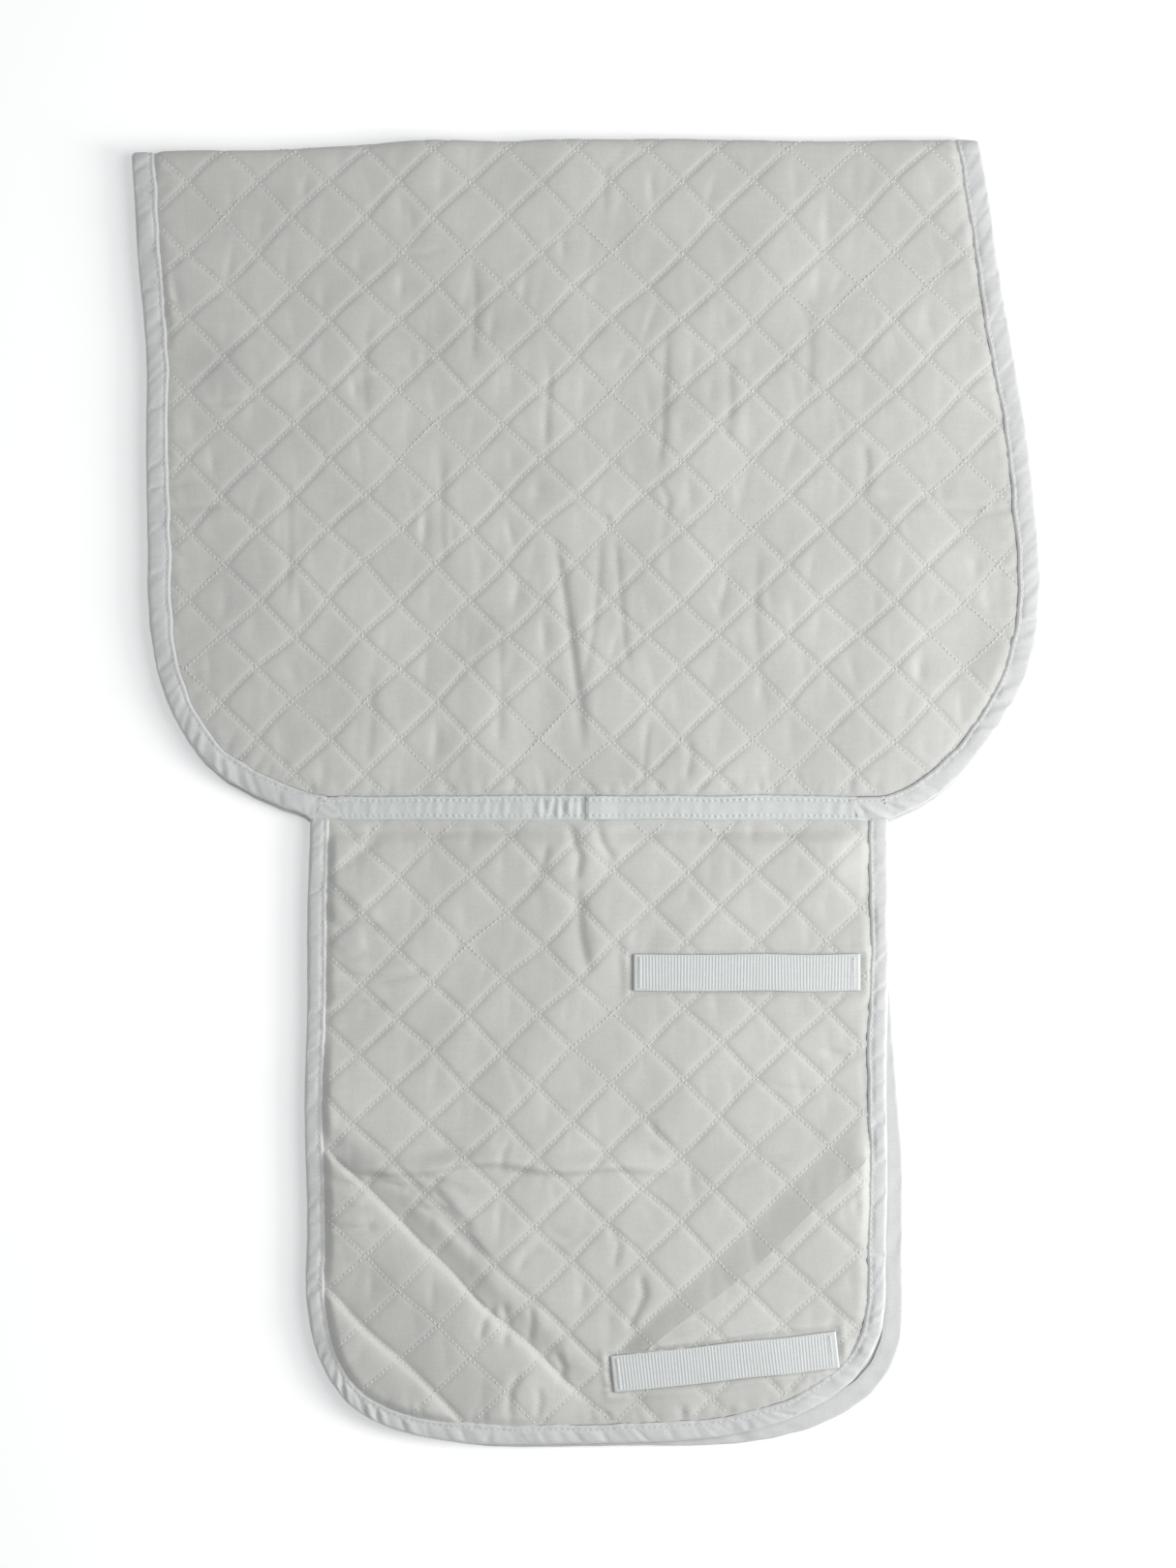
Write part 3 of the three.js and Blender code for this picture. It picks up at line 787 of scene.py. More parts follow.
def shell(name, cells, top, bottom, side, ratio, lip=None):
    """A closed sheet: top points at ratio times the cells' density, bottom points at the cells' own."""
    fine_cells = divided(cells, ratio)
    used_top = corner_points(fine_cells)
    used_bottom = corner_points(cells)
    top_index = numbered(used_top)
    bottom_index = numbered(used_bottom, used_top.sum())
    points = np.vstack([top[used_top], bottom[used_bottom]])
    faces = [quads_of(fine_cells, top_index), quads_of(cells, bottom_index)[:, ::-1]]
    padded = np.pad(cells, 1)
    i, j = np.nonzero(cells)
    edges = [((0, 0), (0, 1), padded[i, j + 1]), ((0, 1), (1, 1), padded[i + 1, j + 2]),
             ((1, 1), (1, 0), padded[i + 2, j + 1]), ((1, 0), (0, 0), padded[i + 1, j])]
    walls = []
    for (ai, aj), (bi, bj), neighbour in edges:
        open_edge = ~neighbour
        a = (i[open_edge] + ai, j[open_edge] + aj)
        b = (i[open_edge] + bi, j[open_edge] + bj)
        rim = [top_index[a[0] * ratio + (b[0] - a[0]) * k, a[1] * ratio + (b[1] - a[1]) * k]
               for k in range(ratio, -1, -1)]
        walls.append(np.stack([bottom_index[a], bottom_index[b]] + rim, 1))
    faces.append(np.vstack(walls))
    if side == OFF:
        faces = [f[:, ::-1] for f in faces]
    piece = new_object(name, points, faces)
    above = grid_normals(top, side, lip)[used_top]
    below = -grid_normals(bottom, side)[used_bottom]
    normals = np.vstack([above, below])
    piece.data.normals_split_custom_set_from_vertices(normals.tolist())
    return piece


def strip(name, top, base, side):
    """A closed sheet from whole grids of points that run along a strip and then across it."""
    cells = np.ones(np.subtract(top.shape[:2], 1), bool)
    return shell(name, cells, base, top, side, 1)


# --- Threads ---------------------------------------------------------------------------------
def stitches(name, centres, directions, ups, length, radius, sides=5):
    """Many short stitches, each a closed grain with pointed ends, as one mesh of thread."""
    directions = directions / np.linalg.norm(directions, axis=1, keepdims=True)
    across = np.cross(directions, ups)
    across /= np.linalg.norm(across, axis=1, keepdims=True)
    ups = np.cross(across, directions)
    angles = np.arange(sides) * math.tau / sides
    local = [(-0.5, 0.0, -0.9)]
    for at in (-0.30, 0.30):
        local += [(at, 0.9 * math.cos(a), 0.9 * math.sin(a)) for a in angles]
    local.append((0.5, 0.0, -0.9))
    local = np.array(local) * (length, radius, radius)
    points = sum(axis[:, None] * local[None, :, k:k + 1]
                 for k, axis in enumerate((directions, across, ups)))
    points = points + centres[:, None]
    ring = np.arange(sides)
    following = (ring + 1) % sides
    last = 1 + 2 * sides
    tips = np.vstack([np.stack([np.zeros(sides, int), 1 + following, 1 + ring], 1),
                      np.stack([np.full(sides, last), 1 + sides + ring, 1 + sides + following], 1)])
    body = np.stack([1 + ring, 1 + following, 1 + sides + following, 1 + sides + ring], 1)
    offsets = (np.arange(len(centres)) * len(local))[:, None, None]
    faces = [(tips[None] + offsets).reshape(-1, 3), (body[None] + offsets).reshape(-1, 4)]
    return dress(new_object(name, points.reshape(-1, 3), faces), "thread")


def stitch_points(line, pitch, start=0.0):
    """Centres and directions at an even pitch along a 3-D polyline."""
    along = lengths_along(line)
    if along[-1] < pitch:
        return np.zeros((0, 3)), np.zeros((0, 3))

    def point(at):
        return np.stack([np.interp(at, along, line[:, k]) for k in range(3)], 1)

    at = np.arange(pitch / 2 + start, along[-1], pitch)
    return point(at), point(at + pitch / 4) - point(at - pitch / 4)


def quilting(panel, points, lift):
    """Stitches down every lattice line of a panel: points are world positions on the fine lattice."""
    spacing = CELLS * FINE
    rng = np.random.default_rng(panel.seed + 3)
    used = corner_points(divided(panel.cells, FINE)) & visible_stitches(panel)
    found = []
    for axis in (0, 1):
        grid = np.moveaxis(points, axis, 0)[::spacing]
        mask = np.moveaxis(used, axis, 0)[::spacing]
        for row, present in zip(grid, mask):
            where = np.nonzero(present)[0]
            if len(where) < 3:
                continue
            for run in np.split(where, np.nonzero(np.diff(where) > 1)[0] + 1):
                found.append(stitch_points(row[run], STITCH_PITCH, rng.uniform(0, 1.5)))
    centres, directions = (np.vstack(part) for part in zip(*found))
    centres[:, :2] += rng.normal(0, 0.14, (len(centres), 2))
    centres[:, 2] += lift
    return centres, directions


def visible_stitches(panel):
    """Only stitches that show beside the binding, the tape and the straps get thread."""
    x, y = panel.fine[:2]
    clear = panel.depth > panel.binding_width + 0.3
    if panel.name == "skirt":
        return clear & (y > TAPE_TOP + 0.5)
    clear &= y < SEAM_Y - 1.0
    for which in STRAPS:
        lx, ly, half = strap_local(x, y, which)
        clear &= (np.abs(lx) > half) | (np.abs(ly) > WEBBING_HALF)
    return clear


# --- Swept strips: bindings and tape ---------------------------------------------------------
def sweep_faces(stations, corners):
    """Quads of a closed tube of sections, and its two end caps."""
    s = np.arange(stations - 1)[:, None]
    c = np.arange(corners)[None, :]
    d = (c + 1) % corners
    quads = np.stack([s * corners + c, s * corners + d, (s + 1) * corners + d,
                      (s + 1) * corners + c], -1).reshape(-1, 4)
    first = np.arange(corners)[None, ::-1]
    last = (np.arange(corners) + (stations - 1) * corners)[None]
    return [quads, first, last]


def binding_section(width):
    """A folded binding's section as (depth from the edge, height): a thin U with a rolled inner hem."""
    outer, inner, middle = BINDING_FACE, BINDING_INNER, (BINDING_FACE + BINDING_INNER) / 2
    hem = [(width, outer - 0.98), (width - 0.7, outer - 0.6), (width - 1.4, outer - 0.2),
           (width - 2.0, outer + 0.08), (width - 2.8, outer + 0.04), (width - 3.4, outer - 0.3)]
    face = [(width - 4.0, outer - 0.06), (width - 5.6, outer + 0.25), (width * 0.5, outer + 0.35),
            (width * 0.34, outer + 0.3), (width * 0.2, outer + 0.12), (2.0, outer - 0.1),
            (1.1, outer - 0.45), (0.4, outer - 1.1), (0.0, middle)]
    under = [(0.35, inner + 0.9), (1.2, inner + 0.25), (2.6, inner), (width * 0.4, inner),
             (width * 0.7, inner), (width - 0.3, inner)]
    outer, inner = outer - CLOTH, inner + CLOTH
    back = [(width, inner), (width * 0.7, inner), (width * 0.35, inner), (2.2, inner),
            (1.1, inner + 0.7), (0.9, middle), (1.3, outer - 0.7), (2.6, outer - 0.2),
            (width * 0.4, outer - 0.1), (width * 0.7, outer - 0.3), (width - 1.2, outer - 0.3)]
    return np.array(hem + face + under + back)


def inward_normals(path):
    """Unit normals to the left of a path."""
    along = np.gradient(path, axis=0)
    along /= np.linalg.norm(along, axis=1, keepdims=True)
    return np.stack([-along[:, 1], along[:, 0]], 1)


def binding_points(path, width, seed):
    """Plan positions and heights of a binding's sections at every station of a path."""
    normals = inward_normals(path)
    tight = bends(path)[:, None]
    length = lengths_along(path)[:, None]
    depth, height = binding_section(width).T[:, None]
    outer = height > BINDING_FACE - 1.3
    inner = height < BINDING_INNER + CLOTH + 0.1
    body = smooth(depth / 2.5) * smooth((width - 3.0 - depth) / 3.0)
    slant = length + depth * (0.9 + 0.5 * ripple(length, 0, 90, seed + 4))
    puckers = ripple(slant, 0.15 * depth, 11, seed) * (0.35 + 0.65 * tight)
    swell = ripple(length, depth * 0.4, 36, seed + 1)
    hem = 0.16 * ripple(length, 0, 6, seed + 2) * smooth((depth - width + 4.5) / 2.0)
    wave = outer * (body * (0.50 * puckers + 0.35 * swell) + hem)
    sag = inner * body * (0.30 + 0.30 * ripple(slant, 0.15 * depth, 14, seed + 7))
    jitter = 0.45 * ripple(length, 0, 30, seed + 3) * smooth(depth / 4)
    edge = 0.30 * ripple(length, 0, 14, seed + 5) * (0.3 + 0.7 * tight)
    inset = depth + jitter * smooth(depth / width) + edge * (1 - smooth(depth / 3))
    x = path[:, 0:1] + normals[:, 0:1] * inset
    s = path[:, 1:2] + normals[:, 1:2] * inset
    height = height + wave + np.maximum(sag, 0)
    rng = np.random.default_rng(seed + 6)
    at = 6.0
    while at < length.max():
        away = np.abs(length - at + depth * rng.normal(0.5, 0.5))
        deep = rng.uniform(0.35, 1.0)
        height -= deep * np.exp(-away / rng.uniform(0.9, 2.2)) * outer * body
        at += rng.uniform(8, 30)
    if width == FENDER_BINDING:
        height = height - 1.7 * smooth((s - SEAM_Y + 1.5) / 3) * (height > 2)
    else:
        on_seam = smooth((s - SEAM_Y + 2) / 4) * smooth((22 - np.abs(np.abs(x) - 190)) / 6)
        height = height + 0.55 * on_seam * smooth((SEAM_Y + 24 - s) / 6) * outer
    return x, s, height


def bends(path, reach=14):
    """How tightly a path curves at each point, from 0 to 1."""
    along = np.gradient(path, axis=0)
    angle = np.unwrap(np.arctan2(along[:, 1], along[:, 0]))
    turn = np.abs(np.gradient(angle))
    kernel = np.ones(reach) / reach
    return np.clip(np.convolve(turn, kernel, "same") / 0.02, 0, 1)


BINDING_STEP = 1.7           # length between a binding's stations


def binding_rings(path, width, side, seed):
    """World positions of a binding's section at every station of a path."""
    x, s, h = binding_points(path, width, seed)
    if width == SKIRT_BINDING:
        mitre = smooth((SEAM_Y + 18 - s) / 2) * smooth((24 - np.abs(np.abs(x) - 184)) / 8)
        x = x - np.sign(x) * mitre * np.clip(s - SEAM_Y, 0, 16) * 0.5
    return lay(side, x, s, h)


def ring_normals(points):
    """Unit normals of a tube, so that pieces cut from it shade as one cloth."""
    around = np.roll(points, -1, axis=1) - np.roll(points, 1, axis=1)
    normals = np.cross(around, np.gradient(points, axis=0))
    return normals / np.maximum(np.linalg.norm(normals, axis=-1, keepdims=True), 1e-9)


def inside_out(points, faces):
    """Whether a closed mesh's faces point inwards."""
    volume = 0.0
    for group in faces:
        corners = points[group]
        for k in range(1, group.shape[1] - 1):
            volume += np.einsum("ij,ij->", corners[:, 0], np.cross(corners[:, k], corners[:, k + 1]))
    return volume < 0


def tube(name, points, normals):
    """A closed tube through stations of ring points."""
    faces = sweep_faces(*points.shape[:2])
    points = points.reshape(-1, 3)
    normals = normals.reshape(-1, 3)
    if inside_out(points, faces):
        faces = [f[:, ::-1] for f in faces]
        normals = -normals
    piece = new_object(name, points, faces)
    piece.data.normals_split_custom_set_from_vertices(normals.tolist())
    return piece


# --- Materials -------------------------------------------------------------------------------
class Nodes:
    """A node material; a value that is another node's socket is linked, any other is set."""

    def __init__(self, name):
        self.material = bpy.data.materials.new(name)
        self.material.use_nodes = True
        self.tree = self.material.node_tree
        self.coords = self.add("ShaderNodeTexCoord").outputs["Object"]

    def fill(self, node, **values):
        for key, value in values.items():
            if hasattr(node, key):
                setattr(node, key, value)
                continue
            socket = node.inputs[key.replace("_", " ")]
            if isinstance(value, bpy.types.NodeSocket):
                self.tree.links.new(value, socket)
            else:
                socket.default_value = value
        return node

    def add(self, kind, **values):
        return self.fill(self.tree.nodes.new(kind), **values)

    def surface(self, **values):
        self.fill(self.tree.nodes["Principled BSDF"], **values)
        return self.material

    def noise(self, scale, detail=2.0, roughness=0.5, stretch=(1, 1, 1)):
        mapping = self.add("ShaderNodeMapping", Vector=self.coords, Scale=stretch)
        return self.add("ShaderNodeTexNoise", Vector=mapping.outputs["Vector"], Scale=scale,
                        Detail=detail, Roughness=roughness).outputs["Fac"]

    def wave(self, pitch, direction):
        return self.add("ShaderNodeTexWave", bands_direction=direction, Vector=self.coords,
                        Scale=math.pi / (10 * pitch), Distortion=0.6).outputs["Fac"]

    def tint(self, factor, dark, light, colour=(1, 1, 1)):
        """A colour made darker or lighter by a factor."""
        ramp = self.add("ShaderNodeValToRGB", Fac=factor)
        for element, position, amount in zip(ramp.color_ramp.elements, (0.3, 0.7), (dark, light)):
            element.position = position
            element.color = (*(c * amount for c in colour), 1)
        return ramp.outputs["Color"]

    def multiply(self, a, b):
        return self.add("ShaderNodeMix", data_type="RGBA", blend_type="MULTIPLY", Factor=1.0,
                        A=a, B=b).outputs["Result"]

    def bump(self, height, strength, distance, **before):
        return self.add("ShaderNodeBump", Height=height, Strength=strength, Distance=distance,
                        **before).outputs["Normal"]


def cloth_material(name, colour, pitch, grain, roughness, sheen, mottle=0.05):
    """Woven cloth: fine threads both ways, slubs, soft creasing and uneven colour."""
    n = Nodes(name)
    cloudy = n.tint(n.noise(14, 4), 1 - mottle, 1 + mottle, colour)
    slubs = n.tint(n.noise(420, 2, 0.6, (1, 0.12, 1)), 0.982, 1.01)
    cross = n.tint(n.noise(420, 2, 0.6, (0.12, 1, 1)), 0.982, 1.01)
    specks = n.tint(n.noise(1000, 2, 0.6), 0.94, 1.04)
    base = n.multiply(n.multiply(n.multiply(cloudy, slubs), cross), specks)
    weave = n.add("ShaderNodeMath", operation="MAXIMUM")
    for socket, direction in zip(weave.inputs, "XY"):
        n.tree.links.new(n.wave(pitch, direction), socket)
    rumple = n.bump(n.noise(55, 5, 0.55), 0.35, 0.0009)
    fuzz = n.bump(n.noise(900, 3, 0.65), 0.30, 0.00025, Normal=rumple)
    normal = n.bump(weave.outputs["Value"], grain, 0.00015, Normal=fuzz)
    rough = n.add("ShaderNodeMapRange", Value=n.noise(120, 3), To_Min=roughness - 0.06,
                  To_Max=roughness + 0.06)
    return n.surface(Base_Color=base, Normal=normal, Roughness=rough.outputs["Result"],
                     Sheen_Weight=sheen, Sheen_Roughness=0.5, Specular_IOR_Level=0.22)


MATERIALS = {
    "quilted_cotton": cloth_material("white_cotton", (0.545, 0.548, 0.520), 0.0007, 0.35, 0.88, 0.12),
    "lining_cotton": cloth_material("lining_cotton", (0.535, 0.538, 0.512), 0.0007, 0.35, 0.9, 0.1),
    "wadding": cloth_material("fibre_wadding", (0.72, 0.72, 0.70), 0.002, 0.1, 0.98, 0.3),
    "edge_binding": cloth_material("binding_cotton", (0.588, 0.598, 0.594), 0.0005, 0.25, 0.72,
                                   0.15, 0.03),
    "seam_tape": cloth_material("tape_weave", (0.582, 0.612, 0.604), 0.0006, 0.3, 0.7, 0.15, 0.03),
    "webbing": cloth_material("webbing_weave", (0.605, 0.628, 0.624), 0.0007, 0.4, 0.62, 0.1, 0.03),
    "thread": cloth_material("white_thread", (0.70, 0.71, 0.69), 0.0003, 0.3, 0.6, 0.1, 0.02),
}


def dress(piece, slot, *nodes):
    """Give a piece its material and hide the CAD nodes it stands for."""
    piece.data.materials.append(MATERIALS[slot])
    if nodes:
        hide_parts(*nodes)
    return piece


def follow(piece, side, part):
    """Skirt pieces ride on their skirt; fender pieces keep their place, fixed into their mesh."""
    half = HALVES[side]
    if part == "skirt":
        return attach(piece, f"{half}_skirt")
    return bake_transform(piece)


# --- Build the quilted panels ----------------------------------------------------------------
rear_binding, front_binding = rear_binding_path(), front_binding_path()
fender_edge = fender_binding_path()
skirt_outline = np.vstack([[[268, SPINE_END]], rear_binding, front_binding])
# Both bound edges as one path: the seam between them isn't bound, but the tape hides it.
skirt_bound = np.vstack([rear_binding, front_binding])
skirt = Panel("skirt", SKIRT_DIAMOND, skirt_outline, skirt_bound, SKIRT_BINDING,
              SPINE_END, SKIRT_COVER_END, SKIRT_CREASES, 31)
fender = Panel("fender", FENDER_DIAMOND, fender_edge, fender_edge, FENDER_BINDING,
               FENDER_COVER_END, HEM_Y - 5, FENDER_CREASES, 57)

for panel in (skirt, fender):
    panel.displacement = simulate_puff(panel)
    panel.fine = relief(panel)
    panel.coarse = tuple(values[::FINE, ::FINE] for values in panel.fine)


def lowest_near(values):
    """The lowest value within two lattice steps, so a coarser sheet stays inside."""
    for _ in range(2):
        padded = np.pad(values, 1, mode="edge")
        shifted = [padded[i:i + values.shape[0], j:j + values.shape[1]]
                   for i in range(3) for j in range(3)]
        values = np.minimum.reduce(shifted)
    return values


def wadding(panel, side, cells):
    """The filling between the cover and the lining, at half the density of the lattice."""
    x, y, cover, lining = panel.coarse
    whole = corners(cells).all(0)[::2, ::2]
    top = lay(side, x, y, lowest_near(cover) - CLOTH - 0.3)[::2, ::2]
    bottom = lay(side, x, y, -lowest_near(-lining) + CLOTH + 0.05)[::2, ::2]
    return shell(f"{HALVES[side]}_{panel.name}_wadding_fill", whole, top, bottom, side, 1)


def build_panel(panel, side):
    """A panel's cover, lining, wadding and quilting; returns what the spine fold goes on with."""
    prefix = f"{HALVES[side]}_{panel.name}"
    x, y, cover, lining = panel.fine
    cx, cy, coarse_cover, coarse_lining = panel.coarse
    fold = np.zeros_like(panel.cells)
    lip, spine = None, math.inf
    if panel.name == "skirt":
        spine = SPINE_START
        fold = panel.cells & (corners(cy).mean(0) > spine)
    else:
        lip = round((PLEAT_ROW - panel.v0) * CELLS * FINE)
    flat = panel.cells & ~fold
    outer = lay(side, x, y, cover)
    under = lay(side, cx, cy, coarse_cover - CLOTH)
    lining_out = lay(side, cx, cy, coarse_lining + CLOTH)
    lining_in = lay(side, cx, cy, coarse_lining)
    for layer, piece, slot in (
            ("cover", shell(f"{prefix}_cover_cloth", flat, outer, under, side, FINE, lip),
             "quilted_cotton"),
            ("lining", shell(f"{prefix}_lining_cloth", flat, lining_out, lining_in, side, 1),
             "lining_cotton"),
            ("wadding", wadding(panel, side, flat), "wadding")):
        follow(dress(piece, slot, f"{prefix}_{layer}"), side, panel.name)
    folded = {}
    for label, points, ups, lift, radius in (
            ("quilting", outer, up(side), 0.12 * side, STITCH_RADIUS),
            ("lining", lay(side, x, y, lining), -up(side), -0.10 * side, STITCH_RADIUS * 0.9)):
        centres, directions = quilting(panel, points, lift)
        on_flat = centres[:, 1] < spine
        folded[label] = centres[~on_flat], directions[~on_flat]
        piece = stitches(f"{prefix}_{label}_thread", centres[on_flat], directions[on_flat], ups,
                         STITCH_LENGTH, radius)
        follow(piece, side, panel.name)
    return {"cells": fold, "cover": (outer, under), "lining": (lining_out, lining_in),
            "thread": folded["quilting"]}


built = {(side, panel.name): build_panel(panel, side)
         for side in (NEAR, OFF) for panel in (skirt, fender)}


# --- The fold along the spine ----------------------------------------------------------------
def fold_blend(piece):
    """The cloth in the fold keeps the place it is drawn in, fixed into its mesh."""
    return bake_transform(piece)


def join_halves(name, first, second):
    """One mesh from two whose edges meet along the middle of the fold."""
    bpy.ops.object.select_all(action="DESELECT")
    for piece in (first, second):
        piece.select_set(True)
    bpy.context.view_layer.objects.active = first
    bpy.ops.object.join()
    first.name = name
    return first


def build_spine_fold():
    folds = {side: built[side, "skirt"] for side in (NEAR, OFF)}
    for layer, ratio, slot, reach in (("cover", FINE, "quilted_cotton", COVER_REACH),
                                      ("lining", 1, "lining_cotton", LINING_REACH)):
        halves = [shell(f"fold_{HALVES[side]}", fold["cells"], *fold[layer], side, ratio)
                  for side, fold in folds.items()]
        piece = dress(join_halves(f"spine_fold_{layer}_cloth", *halves), slot)
        if layer == "cover":
            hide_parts("spine_fold")
        fold_blend(piece)
    centres, directions = (np.vstack([fold["thread"][k] for fold in folds.values()])
                           for k in (0, 1))
    threads = stitches("spine_fold_thread", centres, directions, from_fold(centres),
                       STITCH_LENGTH, STITCH_RADIUS)
    fold_blend(threads)


def from_fold(points):
    """The direction outwards from the middle of the fold."""
    return (points - np.array([0, SPINE_START, MID_Z])) * np.array([0, 1, 1])


build_spine_fold()


# --- Bindings --------------------------------------------------------------------------------
GROOVE_COLUMN = 5            # the point of the binding's section where its stitches lie
OUTER_RING = [*range(0, 15), *range(26, 32)]      # the binding's outer layer: its face and back
INNER_RING = [*range(15, 26)]                     # the layer on the lining side


def hem_stitches(name, line, outwards):
    """The row of stitches that holds a binding, in the groove beside its rolled hem."""
    centres, directions = stitch_points(line, 4.0)
    ups = outwards(centres)
    ups = ups / np.linalg.norm(ups, axis=-1, keepdims=True)
    return stitches(name, centres + 0.18 * ups, directions, ups, 2.6, 0.32)


def build_edge(label, path, width, part, seed):
    """A bound edge of both halves; the skirt's bindings end in a length that runs over the spine fold.
    """
    path = resample(path, BINDING_STEP)
    rings = {side: binding_rings(path, width, side, seed) for side in (NEAR, OFF)}
    cut = len(path) - 1
    if part == "skirt":
        if path[0, 1] > path[-1, 1]:
            path = path[::-1]
            rings = {side: rings[side][::-1] for side in rings}
        cut = np.nonzero(path[:, 1] <= SPINE_START + 0.1)[0][-1]
    for side, ring in rings.items():
        half = HALVES[side]
        piece = tube(f"{half}_{label}_cloth", ring[:cut + 1], ring_normals(ring)[:cut + 1])
        follow(dress(piece, "edge_binding", f"{half}_{label}"), side, part)
        line = ring[:cut + 1, GROOVE_COLUMN]
        follow(hem_stitches(f"{half}_{label}_thread", line, lambda _: up(side)), side, part)
    if part == "fender":
        return
    over = np.concatenate([rings[NEAR][cut - 1:], rings[OFF][cut - 1:-1][::-1]])
    normals = ring_normals(over)[1:-1]
    over = over[1:-1]
    for layer, ring, reach in (("outer", OUTER_RING, COVER_REACH), ("inner", INNER_RING, LINING_REACH)):
        piece = tube(f"spine_fold_{label}_{layer}", over[:, ring], normals[:, ring])
        fold_blend(dress(piece, "edge_binding"))
    thread = hem_stitches(f"spine_fold_{label}_thread", over[:, GROOVE_COLUMN], from_fold)
    fold_blend(thread)


build_edge("rear_edge_binding", rear_binding, SKIRT_BINDING, "skirt", 71)
build_edge("front_edge_binding", front_binding, SKIRT_BINDING, "skirt", 72)
build_edge("fender_binding", fender_edge, FENDER_BINDING, "fender", 73)


# --- Seam tape -------------------------------------------------------------------------------
TAPE_FACE = 5.4
TAPE_LAP = 1.3               # how far the front length is raised where it laps over the rear one
TAPE_STITCH = 4.2
TAPE_ROW_INSET = 2.6
TAPE_COLUMNS = np.array([0, 0.5, 1.4, 2.6, 3.8, 5.4, 8, 10.6, 12.2, 13.4, 14.6, 15.5, 16]) / 16
TAPE_ROW_COLUMNS = (3, 9)    # the columns of the tape's mesh that its stitches follow


def tape(name, start_x, end_x, raised, side, seed, gather):
    """A length of tape with two rows of stitch dimples; gather(x) is how strongly it is puckered."""
    xs = np.arange(start_x, end_x + 0.35, 0.7)
    x, a = np.meshgrid(xs, TAPE_COLUMNS * TAPE_WIDTH, indexing="ij")
    margin = np.minimum(a, TAPE_WIDTH - a)
    between_rows = (a - TAPE_ROW_INSET) / (TAPE_WIDTH - 2 * TAPE_ROW_INSET)
    crown = 0.45 * np.sin(np.pi * np.clip(between_rows, 0, 1))
    edge = 0.35 * (1 - smooth(margin / 1.4))
    dimples = 0.5 + 0.5 * np.cos(x / TAPE_STITCH * math.tau)
    rows = bump((a - TAPE_ROW_INSET) / 0.8) + bump((a - TAPE_WIDTH + TAPE_ROW_INSET) / 0.8)
    pucker = ripple(x, a * 0.35, 8, seed) * gather(x) * np.sin(np.pi * a / TAPE_WIDTH)
    face = TAPE_FACE + raised(x) + crown - edge - rows * (0.25 + 0.55 * dimples) + pucker
    face = face - 0.5 * (1 - smooth(np.minimum(x - start_x, end_x - x) / 2.0))
    y = SEAM_Y + a + 0.35 * ripple(x, 0, 60, seed + 1) + 0.12 * ripple(x, a, 5, seed + 2)
    top = lay(side, x, y, face)
    piece = strip(f"{name}_cloth", top, lay(side, x, y, face - CLOTH), side)
    follow(dress(piece, "seam_tape", name), side, "skirt")
    return [stitch_points(top[:, column], TAPE_STITCH) for column in TAPE_ROW_COLUMNS]


def build_tape(side):
    """The rear length, and the front length that laps over it; both end over the bindings."""
    half = HALVES[side]
    rear_start = cad_box(f"{half}_rear_seam_tape")[0][0]
    rear_end = cad_box(f"{half}_rear_seam_tape")[1][0]
    lap = cad_box(f"{half}_front_seam_tape")[0][0]
    front_end = cad_box(f"{half}_front_seam_tape")[1][0]

    def rear_raised(x):
        return -TAPE_LAP * (1 - smooth((x - rear_start - 8) / 10))

    def front_raised(x):
        over_rear = 1 - smooth((x - lap - 8) / 14)
        return TAPE_LAP * (over_rear - smooth((x - front_end + 18) / 10))

    def rear_gather(x):
        return 0.16 + 0.75 * smooth((x - lap + 46) / 25)

    def front_gather(x):
        return 0.10 + 0.25 * smooth((x - 150) / 40)

    rows = tape(f"{half}_rear_seam_tape", rear_start, rear_end, rear_raised, side, 81, rear_gather)
    rows += tape(f"{half}_front_seam_tape", lap, front_end, front_raised, side, 84, front_gather)
    centres, directions = (np.vstack(part) for part in zip(*rows))
    centres[:, 2] += 0.15 * side
    thread = stitches(f"{half}_tape_thread", centres, directions, up(side), 2.2, 0.28)
    follow(thread, side, "skirt")


for side in (NEAR, OFF):
    build_tape(side)


# --- Keeper straps ---------------------------------------------------------------------------
RIB_PITCH = 2.16
STRAP_SPAN_HEIGHT = 6.9
STRAP_CLOTH = 1.2
WEBBING_EDGE = (12.5, 12.35, 11.6, 11.0, 8.5, 6.0, 3.0)
WEBBING_COLUMNS = np.array([*(-at for at in WEBBING_EDGE), 0, *WEBBING_EDGE[::-1]])


def webbing(name, which, side, start, end, seed):
    """Part of a strap between two shares of its length: ribbed webbing with firm edges."""
    half = STRAPS[which][2]
    lx = np.linspace(-half + 2 * half * start, -half + 2 * half * end,
                     int(2 * half * (end - start) / 0.27))
    x, y = np.meshgrid(lx, WEBBING_COLUMNS, indexing="ij")
    flat_end = smooth((half - np.abs(x) - 4.0) / 2.5)
    selvedge = smooth((WEBBING_HALF - 0.3 - np.abs(y)) / 0.9)
    skew = 0.02 * ripple(x, 0, 60, seed)
    ribs = np.sin((x + y * skew) / RIB_PITCH * math.tau)
    bow = 0.5 * np.cos(np.pi * x / (2 * half)) + 0.25 * ripple(x, y, 70, seed + 1)
    height = STRAP_SPAN_HEIGHT + bow + 0.12 * ribs * flat_end * selvedge
    height = height - 0.35 * (1 - smooth((WEBBING_HALF - np.abs(y)) / 0.5))
    height = height - 0.8 * (1 - smooth((half - np.abs(x)) / 1.2))
    wx, wy = strap_plan(x, y + 0.25 * ripple(x, 0, 45, seed + 2), which)
    top = np.stack([wx, wy, MID_Z + side * height], -1)
    return strip(name, top, top - STRAP_CLOTH * up(side), side)


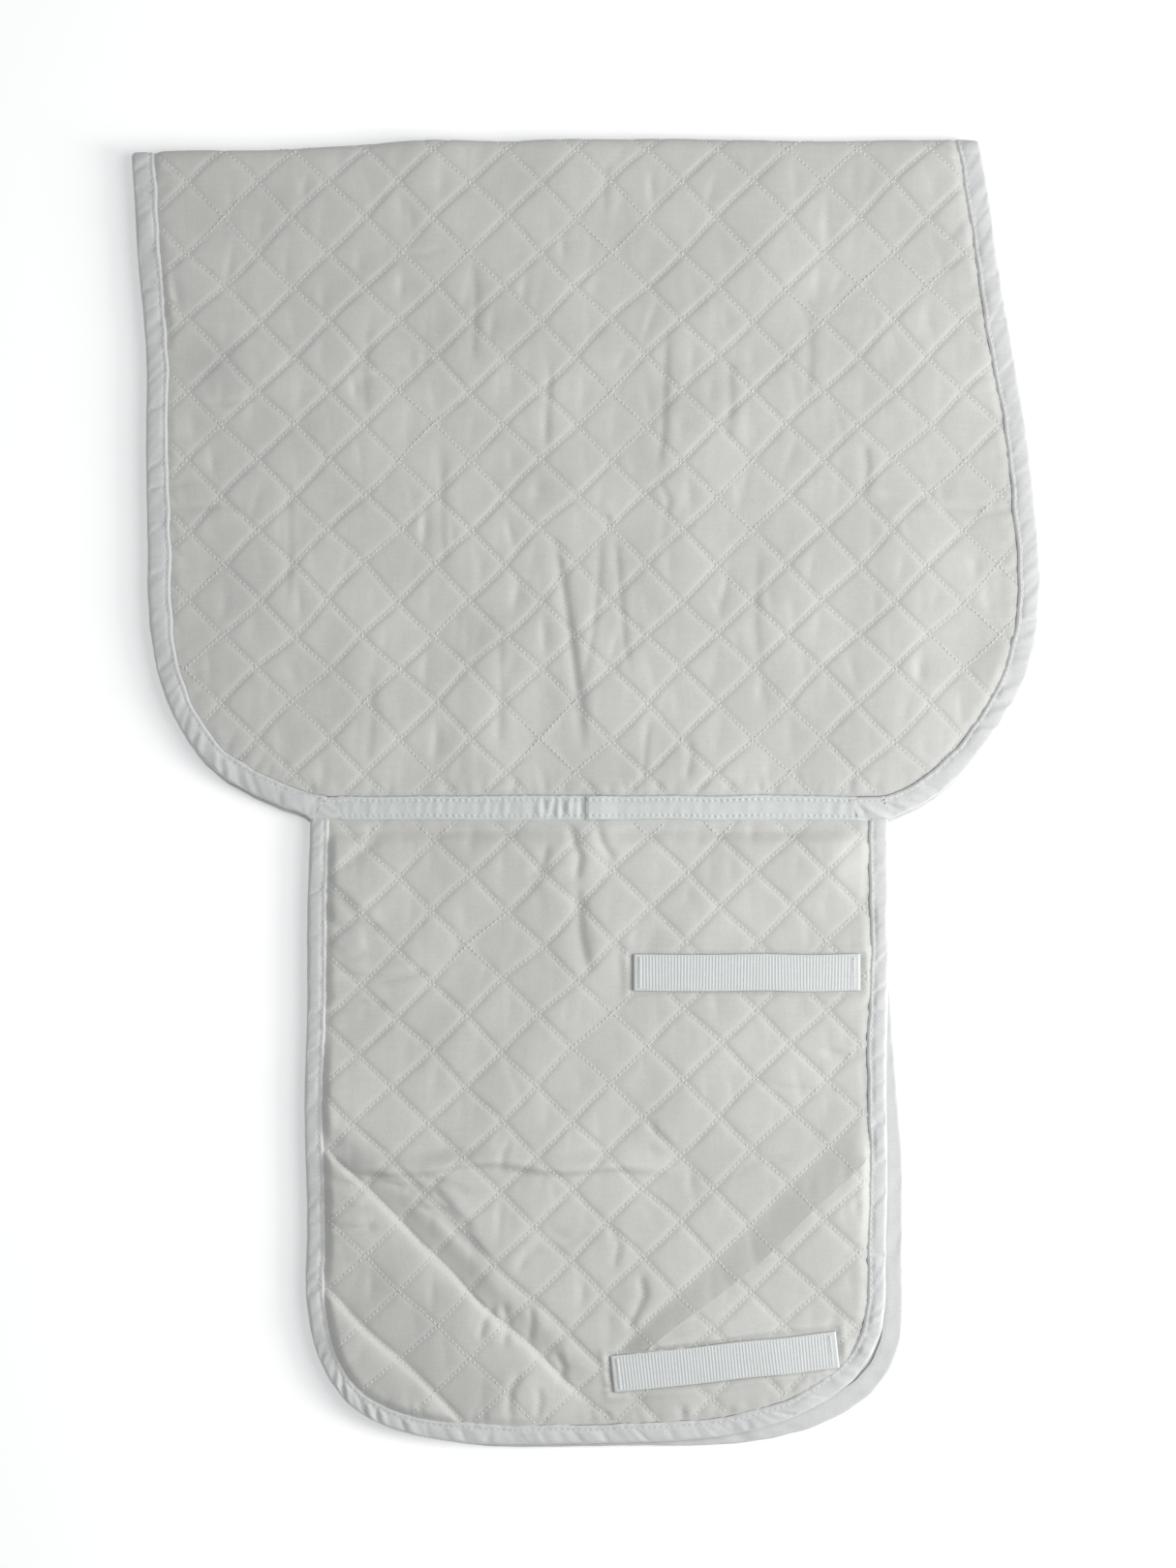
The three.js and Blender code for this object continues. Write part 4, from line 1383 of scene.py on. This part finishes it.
def tack(name, which, side, end):
    """A zigzag bar tack across one sewn end."""
    half = STRAPS[which][2]
    rng = np.random.default_rng(90 + end)
    across = np.arange(-10.5, 10.6, 0.62)
    zig = np.where(np.arange(len(across)) % 2 == 0, 1.25, -1.25)
    lx = end * (half - 4.6) + zig + rng.normal(0, 0.08, len(across))
    wz = np.full(len(across), MID_Z + side * (STRAP_SPAN_HEIGHT + 0.22))
    line = np.stack([*strap_plan(lx, across, which), wz], 1)
    return stitches(name, (line[1:] + line[:-1]) / 2, line[1:] - line[:-1], up(side), 2.9, 0.3)


def build_strap(which, side):
    """A strap in two lengths, each bending from its sewn end on the fender to the lifted middle."""
    half = HALVES[side]
    prefix = f"{half}_{which}"
    for label, start, end, direction in (("rear", 0.0, 0.5, -1), ("front", 0.5, 1.0, 1)):
        piece = webbing(f"{prefix}_webbing_{label}", which, side, start, end, 101)
        dress(piece, "webbing", f"{prefix}_strap_{label}_end")
        if label == "rear":
            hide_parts(f"{prefix}_strap")
        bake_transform(piece)
        thread = tack(f"{prefix}_{label}_tack_thread", which, side, direction)
        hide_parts(f"{prefix}_{label}_tack")
        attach(thread, f"{half}_fender")


for side in (NEAR, OFF):
    for which in ("upper", "lower"):
        build_strap(which, side)


# --- Stage, light and camera -----------------------------------------------------------------
VIEW_HEIGHT = 1619 / 1.5     # how much of the pad's plane the picture's height takes in
CAMERA_HEIGHT = 2.6
CAMERA_AIM = (0.001, 0.005)


def build_stage():
    bpy.ops.mesh.primitive_plane_add(size=8.0, location=(0, 0, -0.0008))
    floor = bpy.context.object
    floor.name = "studio_floor"
    paint = Nodes("studio_floor_paint").surface(
        Base_Color=(0.95, 0.95, 0.95, 1), Emission_Color=(1, 1, 1, 1), Emission_Strength=0.23,
        Roughness=0.9, Specular_IOR_Level=0.1)
    floor.data.materials.append(paint)


def area_light(name, location, size, power, colour=(1, 1, 1)):
    """A square lamp that faces the middle of the pad."""
    data = bpy.data.lights.new(name, "AREA")
    data.energy = power
    data.size = size
    data.color = colour
    lamp = bpy.data.objects.new(name, data)
    lamp.location = location
    lamp.rotation_euler = (-Vector(location)).to_track_quat("-Z", "Y").to_euler()
    bpy.context.scene.collection.objects.link(lamp)


def build_light():
    world = bpy.data.worlds.new("studio")
    world.use_nodes = True
    background = world.node_tree.nodes["Background"]
    background.inputs["Color"].default_value = (0.97, 0.985, 1.0, 1)
    background.inputs["Strength"].default_value = 0.47
    bpy.context.scene.world = world
    area_light("window", (1.61, -0.25, 0.72), 0.8, 26.0, (1.0, 1.0, 0.99))
    area_light("overhead", (0.95, 0.15, 1.40), 1.0, 10.0)
    bpy.context.scene.view_settings.view_transform = "Standard"
    bpy.context.scene.view_settings.look = "None"


def build_camera():
    data = bpy.data.cameras.new("camera")
    camera = bpy.data.objects.new("camera", data)
    camera.location = (*CAMERA_AIM, CAMERA_HEIGHT)
    data.sensor_width = 36.0
    data.lens = data.sensor_width * (CAMERA_HEIGHT - MID_Z * MM) / (VIEW_HEIGHT * MM)
    data.clip_end = 50
    bpy.context.scene.collection.objects.link(camera)
    bpy.context.scene.camera = camera


build_stage()
build_light()
build_camera()
